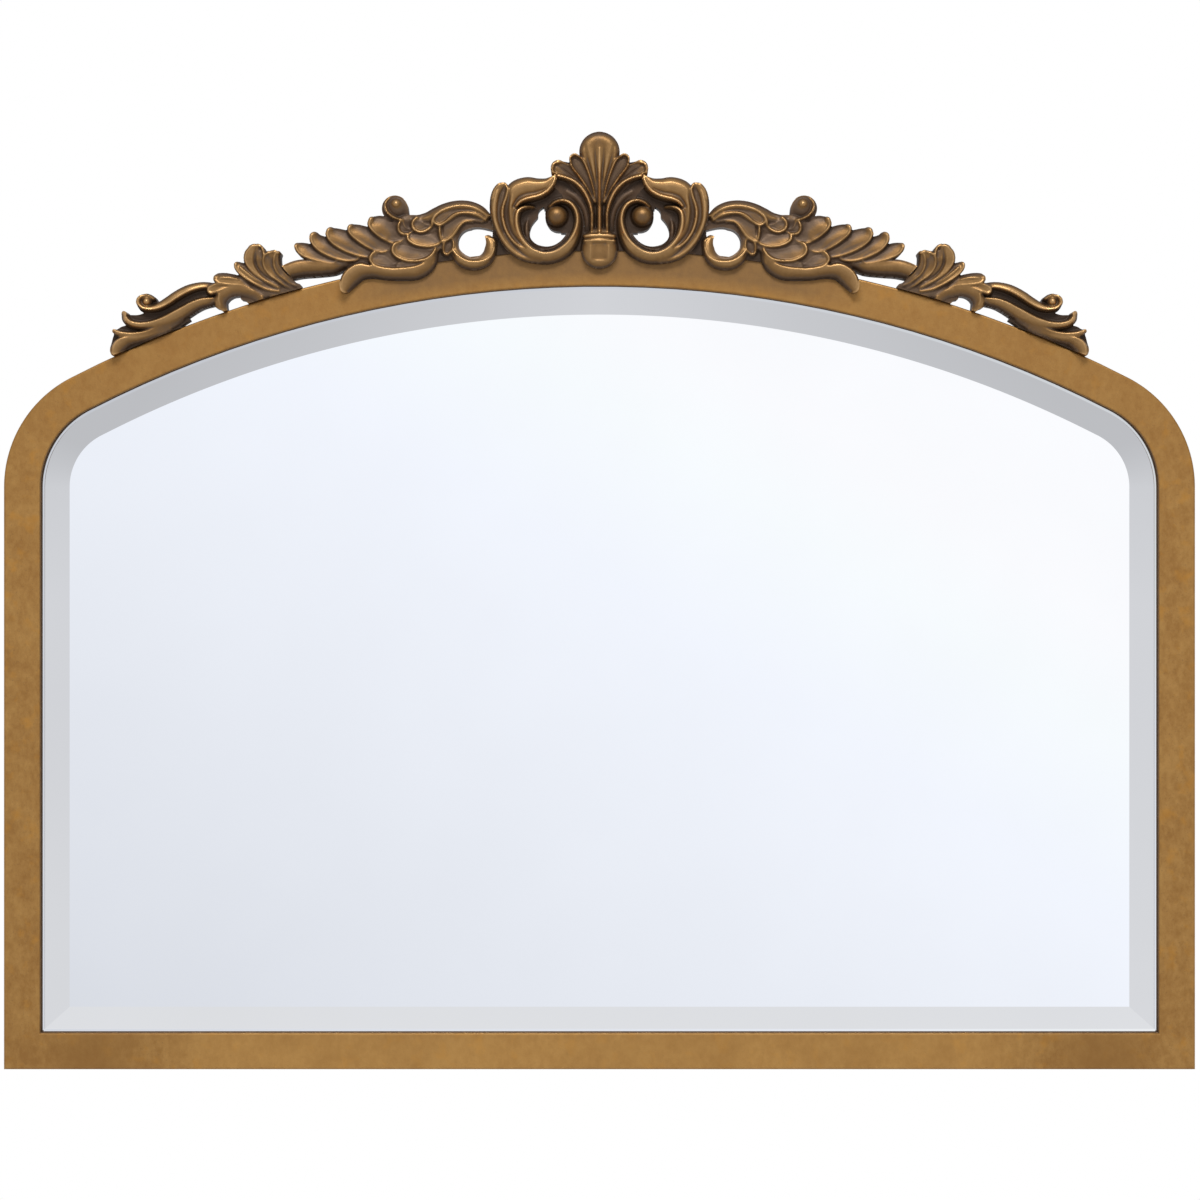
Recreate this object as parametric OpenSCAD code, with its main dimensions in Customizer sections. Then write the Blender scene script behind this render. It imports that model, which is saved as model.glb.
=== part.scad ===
// Arched wall mirror: a rebated wooden frame, bevelled glass with a backing board, a carved
// crest of seven castings along the arch, and two hangers with swivelling rings on the back.
// The wall is the plane y = 0, the front looks along -y, and z = 0 is the lower edge.

/* [Frame] */
// Width over the outside of the frame
frame_w = 914; // [900:1:960]
// Height of the straight sides, up to the start of the shoulders
side_h = 447; // [420:1:520]
// Outer radius of the two shoulders
shoulder_r = 94; // [86:1:104]
// Outer radius of the arched top
arch_r = 885.5; // [860:0.5:940]
// Width of the face
face_w = 28; // [26:0.5:34]
// Thickness from the back to the face
frame_t = 22; // [20:0.5:26]
// Thickness of the lip in front of the glass
lip_t = 8; // [6:0.5:9]
// Width of the rebate behind the lip
rebate_w = 7; // [6:0.5:8]
// Rounding of the edges of the face
edge_r = 1.5; // [0.5:0.1:2.5]

/* [Glass] */
// Thickness of the glass
glass_t = 4; // [3:0.5:5]
// Width of the bevel, with the part under the lip
bevel_w = 25; // [18:0.5:32]
// What the bevel takes off the thickness at the edge of the glass
bevel_drop = 2; // [1:0.1:2.4]
// Gap between the glass and the rebate at the sides and the top
glass_gap = 2.5; // [1:0.1:3]
// Gap under the glass, where it stands in the bottom rail
glass_foot = 0.3; // [0.1:0.1:1]
// Thickness of the backing board
board_t = 3; // [2:0.5:4]

/* [Crest] */
// Width of the crest from tail to tail along the arch, to which the carving is scaled
crest_w = 750; // [700:5:770]
// Height of the highest carving in front of the frame's face
relief = 12; // [9:0.5:15]
// How far the castings reach back behind the face, on the frame's edge
crest_depth = 12; // [9:0.5:15]
// Diameter of the pins between the castings and the frame
pin_d = 3; // [2:0.5:4]
// How far each pin reaches into the frame, and as far into the casting
pin_bite = 9; // [6:0.5:11]

/* [Hangers] */
// Drop of the rings' swivel axis below the upper end of the stiles
hanger_drop = 47; // [20:1:90]
// Width of the strap
strap_w = 10; // [8:0.5:11]
// Thickness of the strap's steel
strap_t = 1; // [0.8:0.1:1.2]
// Length of the strap below the swivel axis
strap_l = 34; // [32:1:44]
// Diameter of the ring's wire
wire_d = 2.4; // [2:0.1:2.6]
// Clear height inside the ring
eye_h = 16; // [14:0.5:20]
// Diameter of the hanger screws
screw_d = 3; // [2.5:0.5:3.5]
// Length of the hanger screws in the wood
screw_l = 14; // [10:1:16]
// Thickness of the pads, which is the gap between the frame and the wall
pad_t = 5; // [5:0.5:8]
// Diameter of the pads
pad_d = 14; // [10:0.5:18]

/* [Joinery] */
// Diameter of the dowels
dowel_d = 6; // [5:0.5:7]
// Length of the dowels
dowel_l = 40; // [30:1:50]
// Length of each glazing point, half of it in the wood
point_l = 12; // [10:1:14]
// Length of each leg of the V-nails
nail_leg = 7; // [5:0.5:8]
// Depth of the V-nails in the wood
nail_l = 10; // [7:1:12]

/* [Hidden] */
$fn = 48;
fit = 0.05; // running and driving fits, on the radius
glue = 0.15; // glue line round a casting

// Distances from the wall
back = pad_t;
face = back + frame_t;
lip = face - lip_t;
glass_edge = lip - fit - bevel_drop * (rebate_w - glass_foot) / bevel_w; // front of the bevel's thin edge
glass_front = glass_edge + bevel_drop;
glass_back = glass_front - glass_t;
board_back = glass_back - board_t;
point_t = 0.6; // thickness of the glazing points
point_w = 8; // width of the glazing points
point_back = board_back - fit - point_t;
nail_t = 0.8; // thickness of the V-nails
crest_back = face - crest_depth;
pin_y = face - crest_depth / 2;

// The frame's plan
half_w = frame_w / 2;
land_w = face_w - rebate_w; // back of the frame beside the rebate
shoulder_x = half_w - shoulder_r;
arch_z = side_h - sqrt(pow(arch_r - shoulder_r, 2) - pow(shoulder_x, 2));
spring = atan2(side_h - arch_z, shoulder_x); // where a shoulder runs into the arch

// Colours
gold = "#a87e4a";
bronze = "#97693a";
steel = "#a9abad";

// Moves a flat drawing in x and z out from the wall, from one distance to another
module slab(from, to) {
    translate([0, -from, 0]) rotate([90, 0, 0]) linear_extrude(to - from) children();
}

// Turns what stands on z so that it stands out from the wall at x and z
module out_at(x, z, distance = 0) {
    translate([x, -distance, z]) rotate([90, 0, 0]) children();
}

module both_sides() {
    children();
    mirror([1, 0, 0]) children();
}

function arc(x, y, r, a, b, n) =
    [for (i = [0 : n]) let(t = a + (b - a) * i / n) [x + r * cos(t), y + r * sin(t)]];

// The frame's outline moved in by one inset at the sides and the top and another at the foot
function outline(inset, foot) = concat(
    [[-half_w + inset, foot], [half_w - inset, foot]],
    arc(shoulder_x, side_h, shoulder_r - inset, 0, spring, 14),
    arc(0, arch_z, arch_r - inset, spring + 1, 179 - spring, 36),
    arc(-shoulder_x, side_h, shoulder_r - inset, 180 - spring, 180, 14));

// The frame's section: x runs in from the outer edge, y out from the wall
function moulding() = concat(
    [[0, back], [land_w, back], [land_w, lip], [face_w, lip]],
    arc(face_w - edge_r, face - edge_r, edge_r, 0, 90, 3),
    arc(edge_r, face - edge_r, edge_r, 90, 180, 3));

// Frame
module bent_member(radius, from, to) {
    rotate([0, 0, from]) rotate_extrude(angle = to - from, $fn = 180)
        translate([radius, 0]) mirror([1, 0]) polygon(moulding());
}

// A straight member along x from its outer corner, with its outer edge down
module straight_member(length) {
    rotate([90, 0, 90]) linear_extrude(length)
        polygon([for (p = moulding()) [-p.y, p.x]]);
}

module bottom_rail() {
    color(gold) difference() {
        translate([-half_w, 0, 0]) straight_member(frame_w);
        both_sides() slab(0, face + 1) polygon([[half_w + 1, -1], [half_w + 1, half_w], [0, half_w]]);
        both_sides() corner_nail(fit);
        foot_points(fit);
    }
}

module right_stile() {
    color(gold) difference() {
        translate([half_w, 0, 0]) rotate([0, -90, 0]) straight_member(side_h);
        slab(0, face + 1) polygon([[half_w + 1, -1], [0, half_w], [0, -1]]);
        corner_nail(fit);
        side_points(fit);
        dowels(fit);
        hanger_screw_pair(fit);
    }
}

module left_stile() {
    mirror([1, 0, 0]) right_stile();
}

module right_shoulder() {
    color(gold) difference() {
        out_at(shoulder_x, side_h) bent_member(shoulder_r, 0, spring);
        dowels(fit);
    }
}

module left_shoulder() {
    mirror([1, 0, 0]) right_shoulder();
}

module arch_rail() {
    color(gold) difference() {
        out_at(0, arch_z) bent_member(arch_r, spring, 180 - spring);
        both_sides() dowels(fit);
        top_points(fit);
        crest_pin_set(fit);
    }
}

// Joinery
// The dowels of one side: two across the foot of the shoulder and two across its top
module dowels(grow = 0) {
    for (share = [0.28, 0.72]) {
        translate([half_w - land_w / 2, -back - share * frame_t, side_h]) dowel(grow);
        translate([0, -back - share * frame_t, arch_z]) rotate([0, 90 - spring, 0])
            translate([0, 0, arch_r - land_w / 2]) rotate([0, 90, 0]) dowel(grow);
    }
}

module dowel(grow) {
    translate([0, 0, -dowel_l / 2 - grow]) cylinder(r = dowel_d / 2 + grow, h = dowel_l + 2 * grow);
}

module frame_dowels() {
    color("#c9a674") both_sides() dowels();
}

// The V-nails of one mitre, driven in from the back, with a leg in each member
module corner_nail(grow = 0) {
    half = nail_t / 2 + grow;
    leg = nail_leg + grow;
    for (share = [0.3, 0.68])
        let (x = half_w - share * land_w, z = share * land_w)
        slab(back, back + nail_l + grow)
            polygon([[x + half, z - half], [x + half, z + leg], [x - half, z + leg],
                [x - half, z + half], [x - leg, z + half], [x - leg, z - half]]);
}

module corner_nails() {
    color(steel) both_sides() corner_nail();
}

// Glass and board
// A plate with the outline's shape whose front edge falls away in a bevel
module mirror_glass() {
    inset = land_w + glass_gap;
    foot = land_w + glass_foot;
    edge = outline(inset, foot);
    flat = outline(inset + bevel_w, foot + bevel_w);
    n = len(edge);
    at = function(points, distance) [for (p = points) [p.x, -distance, p.y]];
    color("#e9ecf2") polyhedron(
        concat(at(edge, glass_back), at(edge, glass_edge), at(flat, glass_front)),
        concat([[for (i = [0 : n - 1]) i]], [[for (i = [n - 1 : -1 : 0]) 2 * n + i]],
            [for (ring = [0, n], i = [0 : n - 1]) let(j = (i + 1) % n)
                [ring + i, ring + n + i, ring + n + j, ring + j]]));
}

module backing_board() {
    color("#8a6a4b") slab(board_back, glass_back - fit)
        polygon(outline(land_w + glass_gap, land_w + glass_foot));
}

// A thin tab driven flat into the rebate's wall; it comes out along -x from the wall at x = 0
module point_tab(grow) {
    translate([-point_l / 2 - grow, -point_back - point_t - grow, -point_w / 2 - grow])
        cube([point_l + 2 * grow, point_t + 2 * grow, point_w + 2 * grow]);
}

module foot_points(grow = 0) {
    for (share = [-0.7, -0.25, 0.25, 0.7])
        translate([share * half_w, 0, land_w]) rotate([0, 90, 0]) point_tab(grow);
}

module side_points(grow = 0) {
    for (share = [0.2, 0.5, 0.8])
        translate([half_w - land_w, 0, share * side_h]) point_tab(grow);
}

module top_points(grow = 0) {
    for (share = [0.1, 0.37, 0.63, 0.9])
        translate([0, 0, arch_z]) rotate([0, -spring - share * (180 - 2 * spring), 0])
            translate([arch_r - land_w, 0, 0]) point_tab(grow);
}

module glazing_points() {
    color(steel) {
        foot_points();
        both_sides() side_points();
        top_points();
    }
}

// Crest
// The arch that the carving is drawn for: the height of its centre, its radius and the crest's width.
// The drawing bends with the real arch, and is scaled to the real crest.
drawn = [-256.4, 885.5, 750];
crest_scale = crest_w / drawn[2];
turn_scale = crest_scale * drawn[1] / arch_r;

function on_arch(x, z) = let(
    a = atan2(x, z - drawn[0]) * turn_scale,
    r = arch_r + crest_scale * (norm([x, z - drawn[0]]) - drawn[1])) [r * sin(a), arch_z + r * cos(a)];

// Points of a smooth curve through hand-placed ones, steps to each stretch
function bend(p, q, r, s, t) = 0.5 * (2 * q + (r - p) * t + (2 * p - 5 * q + 4 * r - s) * t * t
    + (3 * q - p - 3 * r + s) * t * t * t);
function smooth(list, steps) = let(last = len(list) - 1) concat(
    [for (i = [0 : last - 1], k = [0 : steps - 1])
        bend(list[max(i - 1, 0)], list[i], list[i + 1], list[min(i + 2, last)], k / steps)],
    [list[last]]);

// Sections of a stroke: side to side from -1 to 1, and height as a share of the stroke's own
leaf = [[-1, 0.45], [-0.7, 1], [0, 0.5], [0.7, 1], [1, 0.45]];
rib = [[-1, 0.4], [-0.45, 0.92], [0.45, 0.92], [1, 0.4]];
scoop = [[-1, 0.5], [-0.7, 1], [0.1, 0.5], [1, 0.5]];
web = [[-1, 1], [1, 1]];
block = [[-1, 3], [1, 3]];

// A stroke of the chisel. Its points are [x, z, half width, height as a share of the relief]
module stroke(points, section = leaf, steps = 0, grow = 0) {
    between = steps > 0 ? steps : len(points) > 4 ? 1 : 2;
    line = [for (p = smooth(points, between)) let(q = on_arch(p[0], p[1]))
        [q.x, q.y, p[2] * crest_scale + grow, p[3]]];
    last = len(line) - 1;
    profile = concat([[-1, undef]], section, [[1, undef]]);
    m = len(profile);
    rings = [for (i = [0 : last])
        let(d = line[min(i + 1, last)] - line[max(i - 1, 0)], l = norm([d[0], d[1]]),
            across = [-d[1] / l, d[0] / l])
        for (s = profile)
            [line[i][0] + across.x * line[i][2] * s[0],
                is_undef(s[1]) ? -crest_back : -face - line[i][3] * s[1] * relief,
                line[i][1] + across.y * line[i][2] * s[0]]];
    polyhedron(rings, concat(
        [[for (j = [m - 1 : -1 : 0]) j]],
        [[for (j = [0 : m - 1]) last * m + j]],
        [for (i = [0 : last - 1], j = [0 : m - 1]) let(k = (j + 1) % m, a = i * m, b = a + m)
            each [[a + j, b + k, b + j], [a + j, a + k, b + k]]]), convexity = 6);
}

// The rolled end of a leaf, or a bead
module knob(x, z, radius, height) {
    q = on_arch(x, z);
    r = radius * crest_scale;
    crown = 0.6 * r; // height of its rounded top
    hull() {
        out_at(q.x, q.y, crest_back) cylinder(r = r, h = 1, $fn = 8);
        out_at(q.x, q.y, face + height * relief - crown) cylinder(r1 = r, r2 = r / 2, h = crown, $fn = 8);
    }
}

// The space of the frame itself, which the castings are hollowed out to fit
module frame_seat(front = face + glue) {
    out_at(0, arch_z) cylinder(r = arch_r + glue, h = front, $fn = 240);
}

pin_places = [0, 22, 62, 130, 172, 250, 345]; // along x, as the carving is drawn
module crest_pin(x, grow = 0) {
    translate([0, -pin_y, arch_z]) rotate([0, asin(x / drawn[1]) * turn_scale, 0])
        translate([0, 0, arch_r - pin_bite - grow])
            cylinder(r = pin_d / 2 + grow, h = 2 * (pin_bite + grow));
}

module crest_pin_set(grow = 0) {
    crest_pin(0, grow);
    both_sides() for (i = [1 : len(pin_places) - 1]) crest_pin(pin_places[i], grow);
}

module crest_pins() {
    color(steel) crest_pin_set();
}

module palmette_half() {
    stroke([[3.5, 663, 2.2, 0.5], [7, 675, 3.4, 0.65], [12, 686.5, 5.4, 0.85], [16.5, 694.5, 6.2, 1],
        [19.5, 699.5, 4, 0.95]]);
    stroke([[8, 666, 1.8, 0.45], [14, 677.5, 3.2, 0.6], [22, 686.5, 4.8, 0.75],
        [29.5, 691.3, 5.4, 0.85], [35, 692, 3.8, 0.8]]);
    stroke([[6.5, 640, 1.6, 0.7], [5.5, 655, 1.6, 0.7], [8.5, 667, 1.6, 0.75], [15, 677, 1.6, 0.75],
        [24, 682.7, 1.6, 0.75], [32.5, 684.5, 1.3, 0.7]], rib);
    stroke([[9, 642, 3.5, 0.2], [12, 655, 5, 0.22], [18, 667, 7, 0.22], [27, 674.5, 7.5, 0.22],
        [36, 676.5, 6, 0.22]], web, 1);
    stroke([[6, 668, 6, 0.3], [15, 681, 8, 0.3], [24, 689, 7, 0.3]], web, 1);
    knob(20.5, 698.3, 2.8, 0.9);
    knob(35, 692, 2.6, 0.78);
}

module crest_palmette() {
    color(gold) difference() {
        union() {
            stroke([[0, 664, 3, 0.35], [0, 680, 6.5, 0.45], [0, 695, 13, 0.6], [0, 705, 15.7, 0.75],
                [0, 714, 11, 0.8], [0, 718.6, 4, 0.7]]);
            stroke([[0, 640, 1.6, 0.75], [0, 668, 1.4, 0.75], [0, 707, 0.9, 0.85]], rib);
            stroke([[0, 636, 11.5, 0.3], [0, 650, 10.5, 0.3], [0, 664, 9, 0.3],
                [0, 676, 10, 0.25]], web, 1);
            stroke([[-12.3, 638.3, 2.5, 0.75], [0, 638.3, 2.9, 0.95], [12.3, 638.3, 2.5, 0.75]], rib);
            stroke([[-10, 634, 1.6, 0.65], [0, 634, 1.9, 0.85], [10, 634, 1.6, 0.65]], rib);
            both_sides() palmette_half();
            bud();
        }
        frame_seat();
        both_sides() c_scroll_space();
        crest_pin(0, glue);
    }
}

// The bud under the collar: a round cup with a sunk panel, which hangs over the frame's face
bud_w = 28;
bud_deep = 0.75 * relief;
panel_w = 11.6;
panel_sink = 1.6;

module bud() {
    low = on_arch(0, 626).y;
    high = on_arch(0, 631).y;
    half = crest_scale * bud_w / 2;
    sunk = face + bud_deep - panel_sink;
    difference() {
        hull() {
            translate([0, -face, low]) scale([half, bud_deep, 0.88 * half]) sphere(1, $fn = 24);
            translate([0, -face, high]) scale([0.92 * half, 0.93 * bud_deep, 0.36 * half])
                sphere(1, $fn = 24);
        }
        slab(sunk, face + relief) translate([-crest_scale * panel_w / 2, low - 0.5 * half])
            square([crest_scale * panel_w, 1.5 * half]);
    }
}

// C-scroll
c_body = [[47, 664.5, 3.2, 0.6], [54, 660.5, 6, 0.75], [59.5, 653, 8, 0.9], [60.8, 643, 8.3, 0.9],
    [57, 633, 8.2, 0.9], [50, 626, 7.4, 0.9], [42, 624.2, 6.9, 0.9], [33.5, 626.6, 7.4, 0.9],
    [25.5, 632, 7.6, 0.9], [19.5, 641, 7, 0.85], [17, 650, 5.4, 0.85], [19.5, 659, 5.6, 0.85],
    [25, 664.3, 4.4, 0.85], [31.5, 664.6, 3.2, 0.8], [37, 661.8, 1.8, 0.75]];
c_cap = [[36.5, 682.5, 1.8, 0.6], [43, 676.5, 6, 0.75], [52, 675, 8, 0.8], [61, 672.5, 8.2, 0.8],
    [68, 666.5, 6.5, 0.7], [71, 658, 5, 0.6]];
c_finger = [[73.5, 677, 4, 0.75], [77, 669.5, 6.3, 0.8], [78.3, 659.5, 6, 0.8], [76.5, 649, 5.6, 0.8],
    [72.3, 640, 5.2, 0.75], [65.5, 631.5, 4.8, 0.7], [57, 625, 4.2, 0.65], [48, 621.3, 3.4, 0.6]];
c_ground = [[37, 667.5, 4.5, 0.25], [44, 667.3, 6.5, 0.25], [52, 667, 5, 0.25], [62, 664, 6, 0.25],
    [69, 653, 6, 0.25], [67, 641, 6, 0.25], [60, 631, 5, 0.25]];
roll = [[-1, 0.35], [-0.4, 0.45], [0, 1], [0.5, 0.7], [1, 0.5]];

// The space that a C-scroll takes, which its neighbours leave free
module c_scroll_space() {
    stroke(c_body, block, grow = glue);
    stroke(c_cap, block, grow = glue);
    stroke(c_finger, block, grow = glue);
    stroke(c_ground, block, 1, glue);
}

module right_c_scroll() {
    color(gold) difference() {
        union() {
            stroke(c_body, roll);
            stroke(c_cap, leaf);
            stroke(c_finger, leaf);
            stroke(c_ground, web, 1);
            knob(30, 653.3, 11.3, 0.3);
            ball(32.3, 654.5, 8.5);
            knob(73.3, 677.3, 2.8, 0.72);
        }
        frame_seat();
        for (x = [22, 62]) crest_pin(x, glue);
    }
}

module ball(x, z, radius) {
    q = on_arch(x, z);
    r = radius * crest_scale;
    hull() {
        out_at(q.x, q.y, crest_back) cylinder(r = 0.9 * r, h = 1, $fn = 16);
        translate([q.x, -face - 0.95 * relief + r, q.y]) sphere(r, $fn = 16);
    }
}

module left_c_scroll() {
    mirror([1, 0, 0]) right_c_scroll();
}

// Inner wing: a ring scroll, two leaves over it, a fan of lobes and a smooth tail on the face
wing_stem = [[176, 618, 3.5, 0.5], [190, 616.8, 4.5, 0.55], [204, 614.3, 5, 0.55], [216, 614.2, 6, 0.55],
    [228, 613.5, 6.5, 0.6], [238, 611.4, 6.2, 0.6], [244.5, 608.8, 5.6, 0.55]];

module right_inner_wing() {
    color(gold) difference() {
        union() {
            stroke([[88.5, 638.3, 1.2, 0.5], [83, 636.5, 2.2, 0.6], [81.3, 630, 3, 0.65],
                [85, 622.5, 4.3, 0.7],
                [92, 618.2, 5, 0.75], [99, 617.5, 5.2, 0.75], [106, 620, 5.2, 0.75],
                    [112, 626, 4.5, 0.7], [115, 634, 4, 0.6]], rib);
            stroke([[82, 650, 3, 0.5], [90, 656.8, 3.8, 0.6], [98, 660.4, 4, 0.65], [106, 661.4, 4, 0.7],
                [114, 660.3, 4.5, 0.75], [121, 656.3, 5, 0.8], [126.5, 650.5, 3, 0.75]], scoop);
            stroke([[84, 645, 4, 0.45], [92, 651, 5, 0.55], [101, 653.3, 5.5, 0.65], [109, 652.3, 6, 0.75],
                [115.5, 647.5, 6, 0.8], [119, 640, 4, 0.75], [119, 635.5, 2, 0.7]], scoop);
            stroke([[97, 647.5, 2.5, 0.4], [104, 645.8, 4, 0.5], [109.5, 640.5, 4.5, 0.55],
                [112, 633, 4.5, 0.55], [111, 626, 3, 0.5]], rib);
            stroke([[116, 624.8, 2.2, 0.65], [116.5, 630, 4, 0.7], [116.5, 636, 4.5, 0.6]], leaf);
            stroke([[125, 638, 4, 0.45], [129.5, 645, 5.2, 0.6], [136, 649.3, 5.5, 0.75],
                [141, 648.8, 3, 0.75]], scoop);
            stroke([[136, 637, 3.5, 0.5], [143, 643, 5.2, 0.65], [149, 646.5, 4.6, 0.8],
                [151.5, 647.5, 2.5, 0.8]], scoop);
            stroke([[121, 634, 4, 0.5], [130, 636.3, 5, 0.65], [139, 637.5, 4.6, 0.75],
                [145.3, 637.2, 2, 0.7]], scoop);
            stroke([[124, 627, 4, 0.5], [134, 625.8, 6, 0.65], [144, 627, 6.8, 0.75],
                [152, 628.4, 5.6, 0.85], [156.5, 629.3, 2.6, 0.8]], leaf);
            stroke([[144, 616.5, 4, 0.5], [153, 618, 5.5, 0.6], [162, 619.7, 6.6, 0.75],
                [169.5, 620.7, 6, 0.85], [174, 621, 3, 0.8]], scoop);
            stroke([[124, 622, 3.2, 0.5], [131, 616, 4.6, 0.6], [140, 611.4, 5, 0.7],
                [151, 609.6, 5, 0.75], [163, 609.8, 5, 0.75],
                [175, 611.2, 5, 0.75], [184, 611.2, 5.6, 0.8], [191, 606.8, 6, 0.85],
                    [194.7, 601, 4, 0.85], [195.5, 597, 2, 0.8]], rib);
            stroke([[139, 627, 3.5, 0.4], [146, 637, 3.6, 0.45], [150.5, 646, 4.2, 0.5],
                [153.5, 652, 6, 0.55], [156, 659.5, 8.2, 0.6], [156.5, 666, 4.5, 0.55]], rib);
            stroke([[152, 650.5, 1.5, 0.7], [158.5, 652.5, 1.6, 0.85], [163.3, 657.5, 1.6, 0.9],
                [163.3, 664, 1.6, 0.9], [157.5, 668, 1.5, 0.85], [150.5, 665.5, 1.5, 0.8],
                    [148.8, 659, 1.3, 0.7]], rib);
            knob(156, 663, 3.2, 0.85);
            stroke([[149, 632, 5, 0.45], [156.5, 639.5, 6.3, 0.6], [165, 645, 6.3, 0.8],
                [172, 648.8, 4.6, 0.95], [176, 650.3, 2.4, 0.95]], scoop);
            stroke([[160, 627.5, 5, 0.45], [170, 634.8, 5.9, 0.6], [179, 640.4, 5.6, 0.8],
                [186.5, 643.5, 4.2, 0.95], [191, 644.8, 2.2, 0.95]], scoop);
            stroke([[175, 625.5, 4.5, 0.45], [185, 630.8, 6, 0.6], [194, 636, 6.5, 0.8],
                [201.5, 640.8, 4.9, 0.95], [207, 643.3, 2.4, 0.95]], scoop);
            stroke([[188, 621.5, 4, 0.45], [199, 626.3, 5.6, 0.6], [208, 631.4, 6.3, 0.8],
                [215, 636, 4.9, 0.95], [219.8, 638.4, 2.2, 0.95]], scoop);
            stroke([[202, 617.3, 3.6, 0.45], [213, 621.2, 4.7, 0.6], [222, 626, 5.2, 0.8],
                [228.5, 629.2, 3.8, 0.95], [232, 630.8, 2, 0.95]], scoop);
            stroke([[111, 637, 10, 0.25], [122, 633, 14, 0.25], [146, 629, 14, 0.25],
                [172, 623, 10, 0.25], [188, 619.5, 5, 0.25], [202, 616, 4, 0.25]], web, 1);
            stroke(wing_stem, rib);
            for (p = [[174.5, 650.5], [190, 645], [206, 643], [219, 638.3], [231, 630], [151, 647],
                [173.5, 621.5]])
                knob(p.x, p.y, 2.3, 0.85);
        }
        frame_seat();
        c_scroll_space();
        outer_wing_space();
        for (x = [130, 172]) crest_pin(x, glue);
    }
}

module left_inner_wing() {
    mirror([1, 0, 0]) right_inner_wing();
}

// Outer wing: five curls, a drooping leaf and a ribbed tail that ends in a volute
curl_1 = [[249, 624, 3.6, 0.85], [248.7, 618, 4.2, 0.8], [246, 611.5, 4.3, 0.7], [240.5, 605, 4.3, 0.6],
    [234, 600, 4, 0.5]];
curl_2 = [[254.2, 623, 2.8, 0.8], [255, 617, 3.3, 0.8], [252.5, 610.5, 3.5, 0.7], [247, 604, 3.6, 0.65],
    [240, 597.5, 3.6, 0.55]];
wing_foot = [[236, 598, 4, 0.25], [248, 597, 7, 0.25], [258, 593, 6, 0.25], [266, 590.5, 3.5, 0.25]];

// The space that an outer wing takes where the inner wing meets it
module outer_wing_space() {
    stroke(curl_1, block, grow = glue);
    stroke(curl_2, block, grow = glue);
    stroke(wing_foot, block, grow = glue);
}

module right_outer_wing() {
    color(gold) difference() {
        union() {
            stroke(curl_1, scoop);
            stroke(curl_2, scoop);
            stroke([[262.3, 630.5, 4.6, 0.9], [264, 623.5, 7.6, 0.9], [262.5, 615.5, 7.6, 0.8],
                [257, 606.5, 6, 0.65], [250, 598.5, 5, 0.55], [244, 593, 4, 0.5]], leaf);
            stroke([[277, 613.6, 2.4, 0.85], [272, 610.5, 4.4, 0.85], [265.5, 604, 4.8, 0.7],
                [258, 597, 4.5, 0.6], [251, 591.5, 4, 0.5]], scoop);
            stroke([[293.5, 605.5, 2.4, 0.85], [288, 605.6, 4.1, 0.85], [280, 605, 4.4, 0.75],
                [271, 601.5, 4.5, 0.65], [262, 595, 4.5, 0.5]], leaf);
            stroke([[299, 598.6, 2, 0.6], [290, 596.8, 4.6, 0.6], [280, 595.6, 5, 0.6],
                [270, 593.5, 5, 0.55], [260, 590, 4, 0.5]], leaf);
            stroke([[297, 599.2, 3.5, 0.7], [292, 594.5, 5, 0.75], [288, 588.8, 4.4, 0.7],
                [286, 583.5, 3.2, 0.65], [285.3, 579.5, 2.8, 0.6]], leaf);
            stroke([[294, 600.3, 2.2, 0.6], [304, 599.3, 4, 0.75], [314, 596, 4.4, 0.8],
                [323, 591.3, 4.6, 0.8], [332, 586, 4.6, 0.8],
                [340, 582, 4.4, 0.8], [348, 580.8, 4.2, 0.85], [353.5, 584.3, 3.6, 0.9],
                    [353.3, 590, 2.4, 0.9], [348.5, 593, 1.6, 0.85]], rib);
            stroke([[294, 593, 3, 0.55], [304, 591.6, 3.6, 0.7], [314, 587.2, 4, 0.75],
                [323, 581.6, 4.2, 0.75], [332, 577, 4.2, 0.75],
                [341, 573.8, 4.1, 0.75], [350, 573.2, 4.1, 0.8], [358, 575.2, 4.2, 0.85],
                    [363.3, 578.3, 2.6, 0.85]], rib);
            stroke([[291, 588.8, 3.2, 0.45], [300, 587, 3.8, 0.55], [308, 582.5, 4.2, 0.6],
                [316, 577.2, 4.3, 0.65], [326, 572.6, 4, 0.65],
                [338, 569.2, 4, 0.7], [350, 567.4, 4, 0.75], [361, 567.3, 4, 0.8],
                    [371.5, 566.5, 2, 0.8]], rib);
            stroke([[322, 568.5, 3, 0.45], [334, 565.5, 3.8, 0.55], [345, 562, 4, 0.6],
                [356, 560, 4.5, 0.65], [366, 556.5, 5.5, 0.75],
                [371, 551.5, 4.5, 0.8], [372, 547.5, 2.4, 0.8]], rib);
            ball(346.5, 589.6, 3.8);
            for (p = [[262, 630], [277.5, 614], [249, 624.5], [294, 605.5], [364, 578.5], [371, 566.3],
                [371.5, 549], [255, 623.5]])
                knob(p.x, p.y, 2.1, 0.78);
            stroke(wing_foot, web);
        }
        frame_seat(face + 2 * relief);
        for (x = [250, 345]) crest_pin(x, glue);
    }
}

module left_outer_wing() {
    mirror([1, 0, 0]) right_outer_wing();
}

// Hangers
bore_r = wire_d / 2 + fit;
barrel_r = bore_r + 0.03 + strap_t;
hang_x = half_w - land_w / 2;
hanger_z = side_h - hanger_drop;
hang_y = back - barrel_r; // the swivel axis, from the wall
leg = strap_w / 2 + 0.5; // half of the ring's straight leg
bend_r = 2.5; // centre line of the ring's two tight bends
ring_r = leg + bend_r; // centre line of the ring's round top
ring_side = eye_h + wire_d - ring_r; // where the round top starts
screw_head_t = 1.6;
screw_places = [-barrel_r - screw_d - 4, -strap_l + strap_w / 2 + 0.5];

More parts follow.
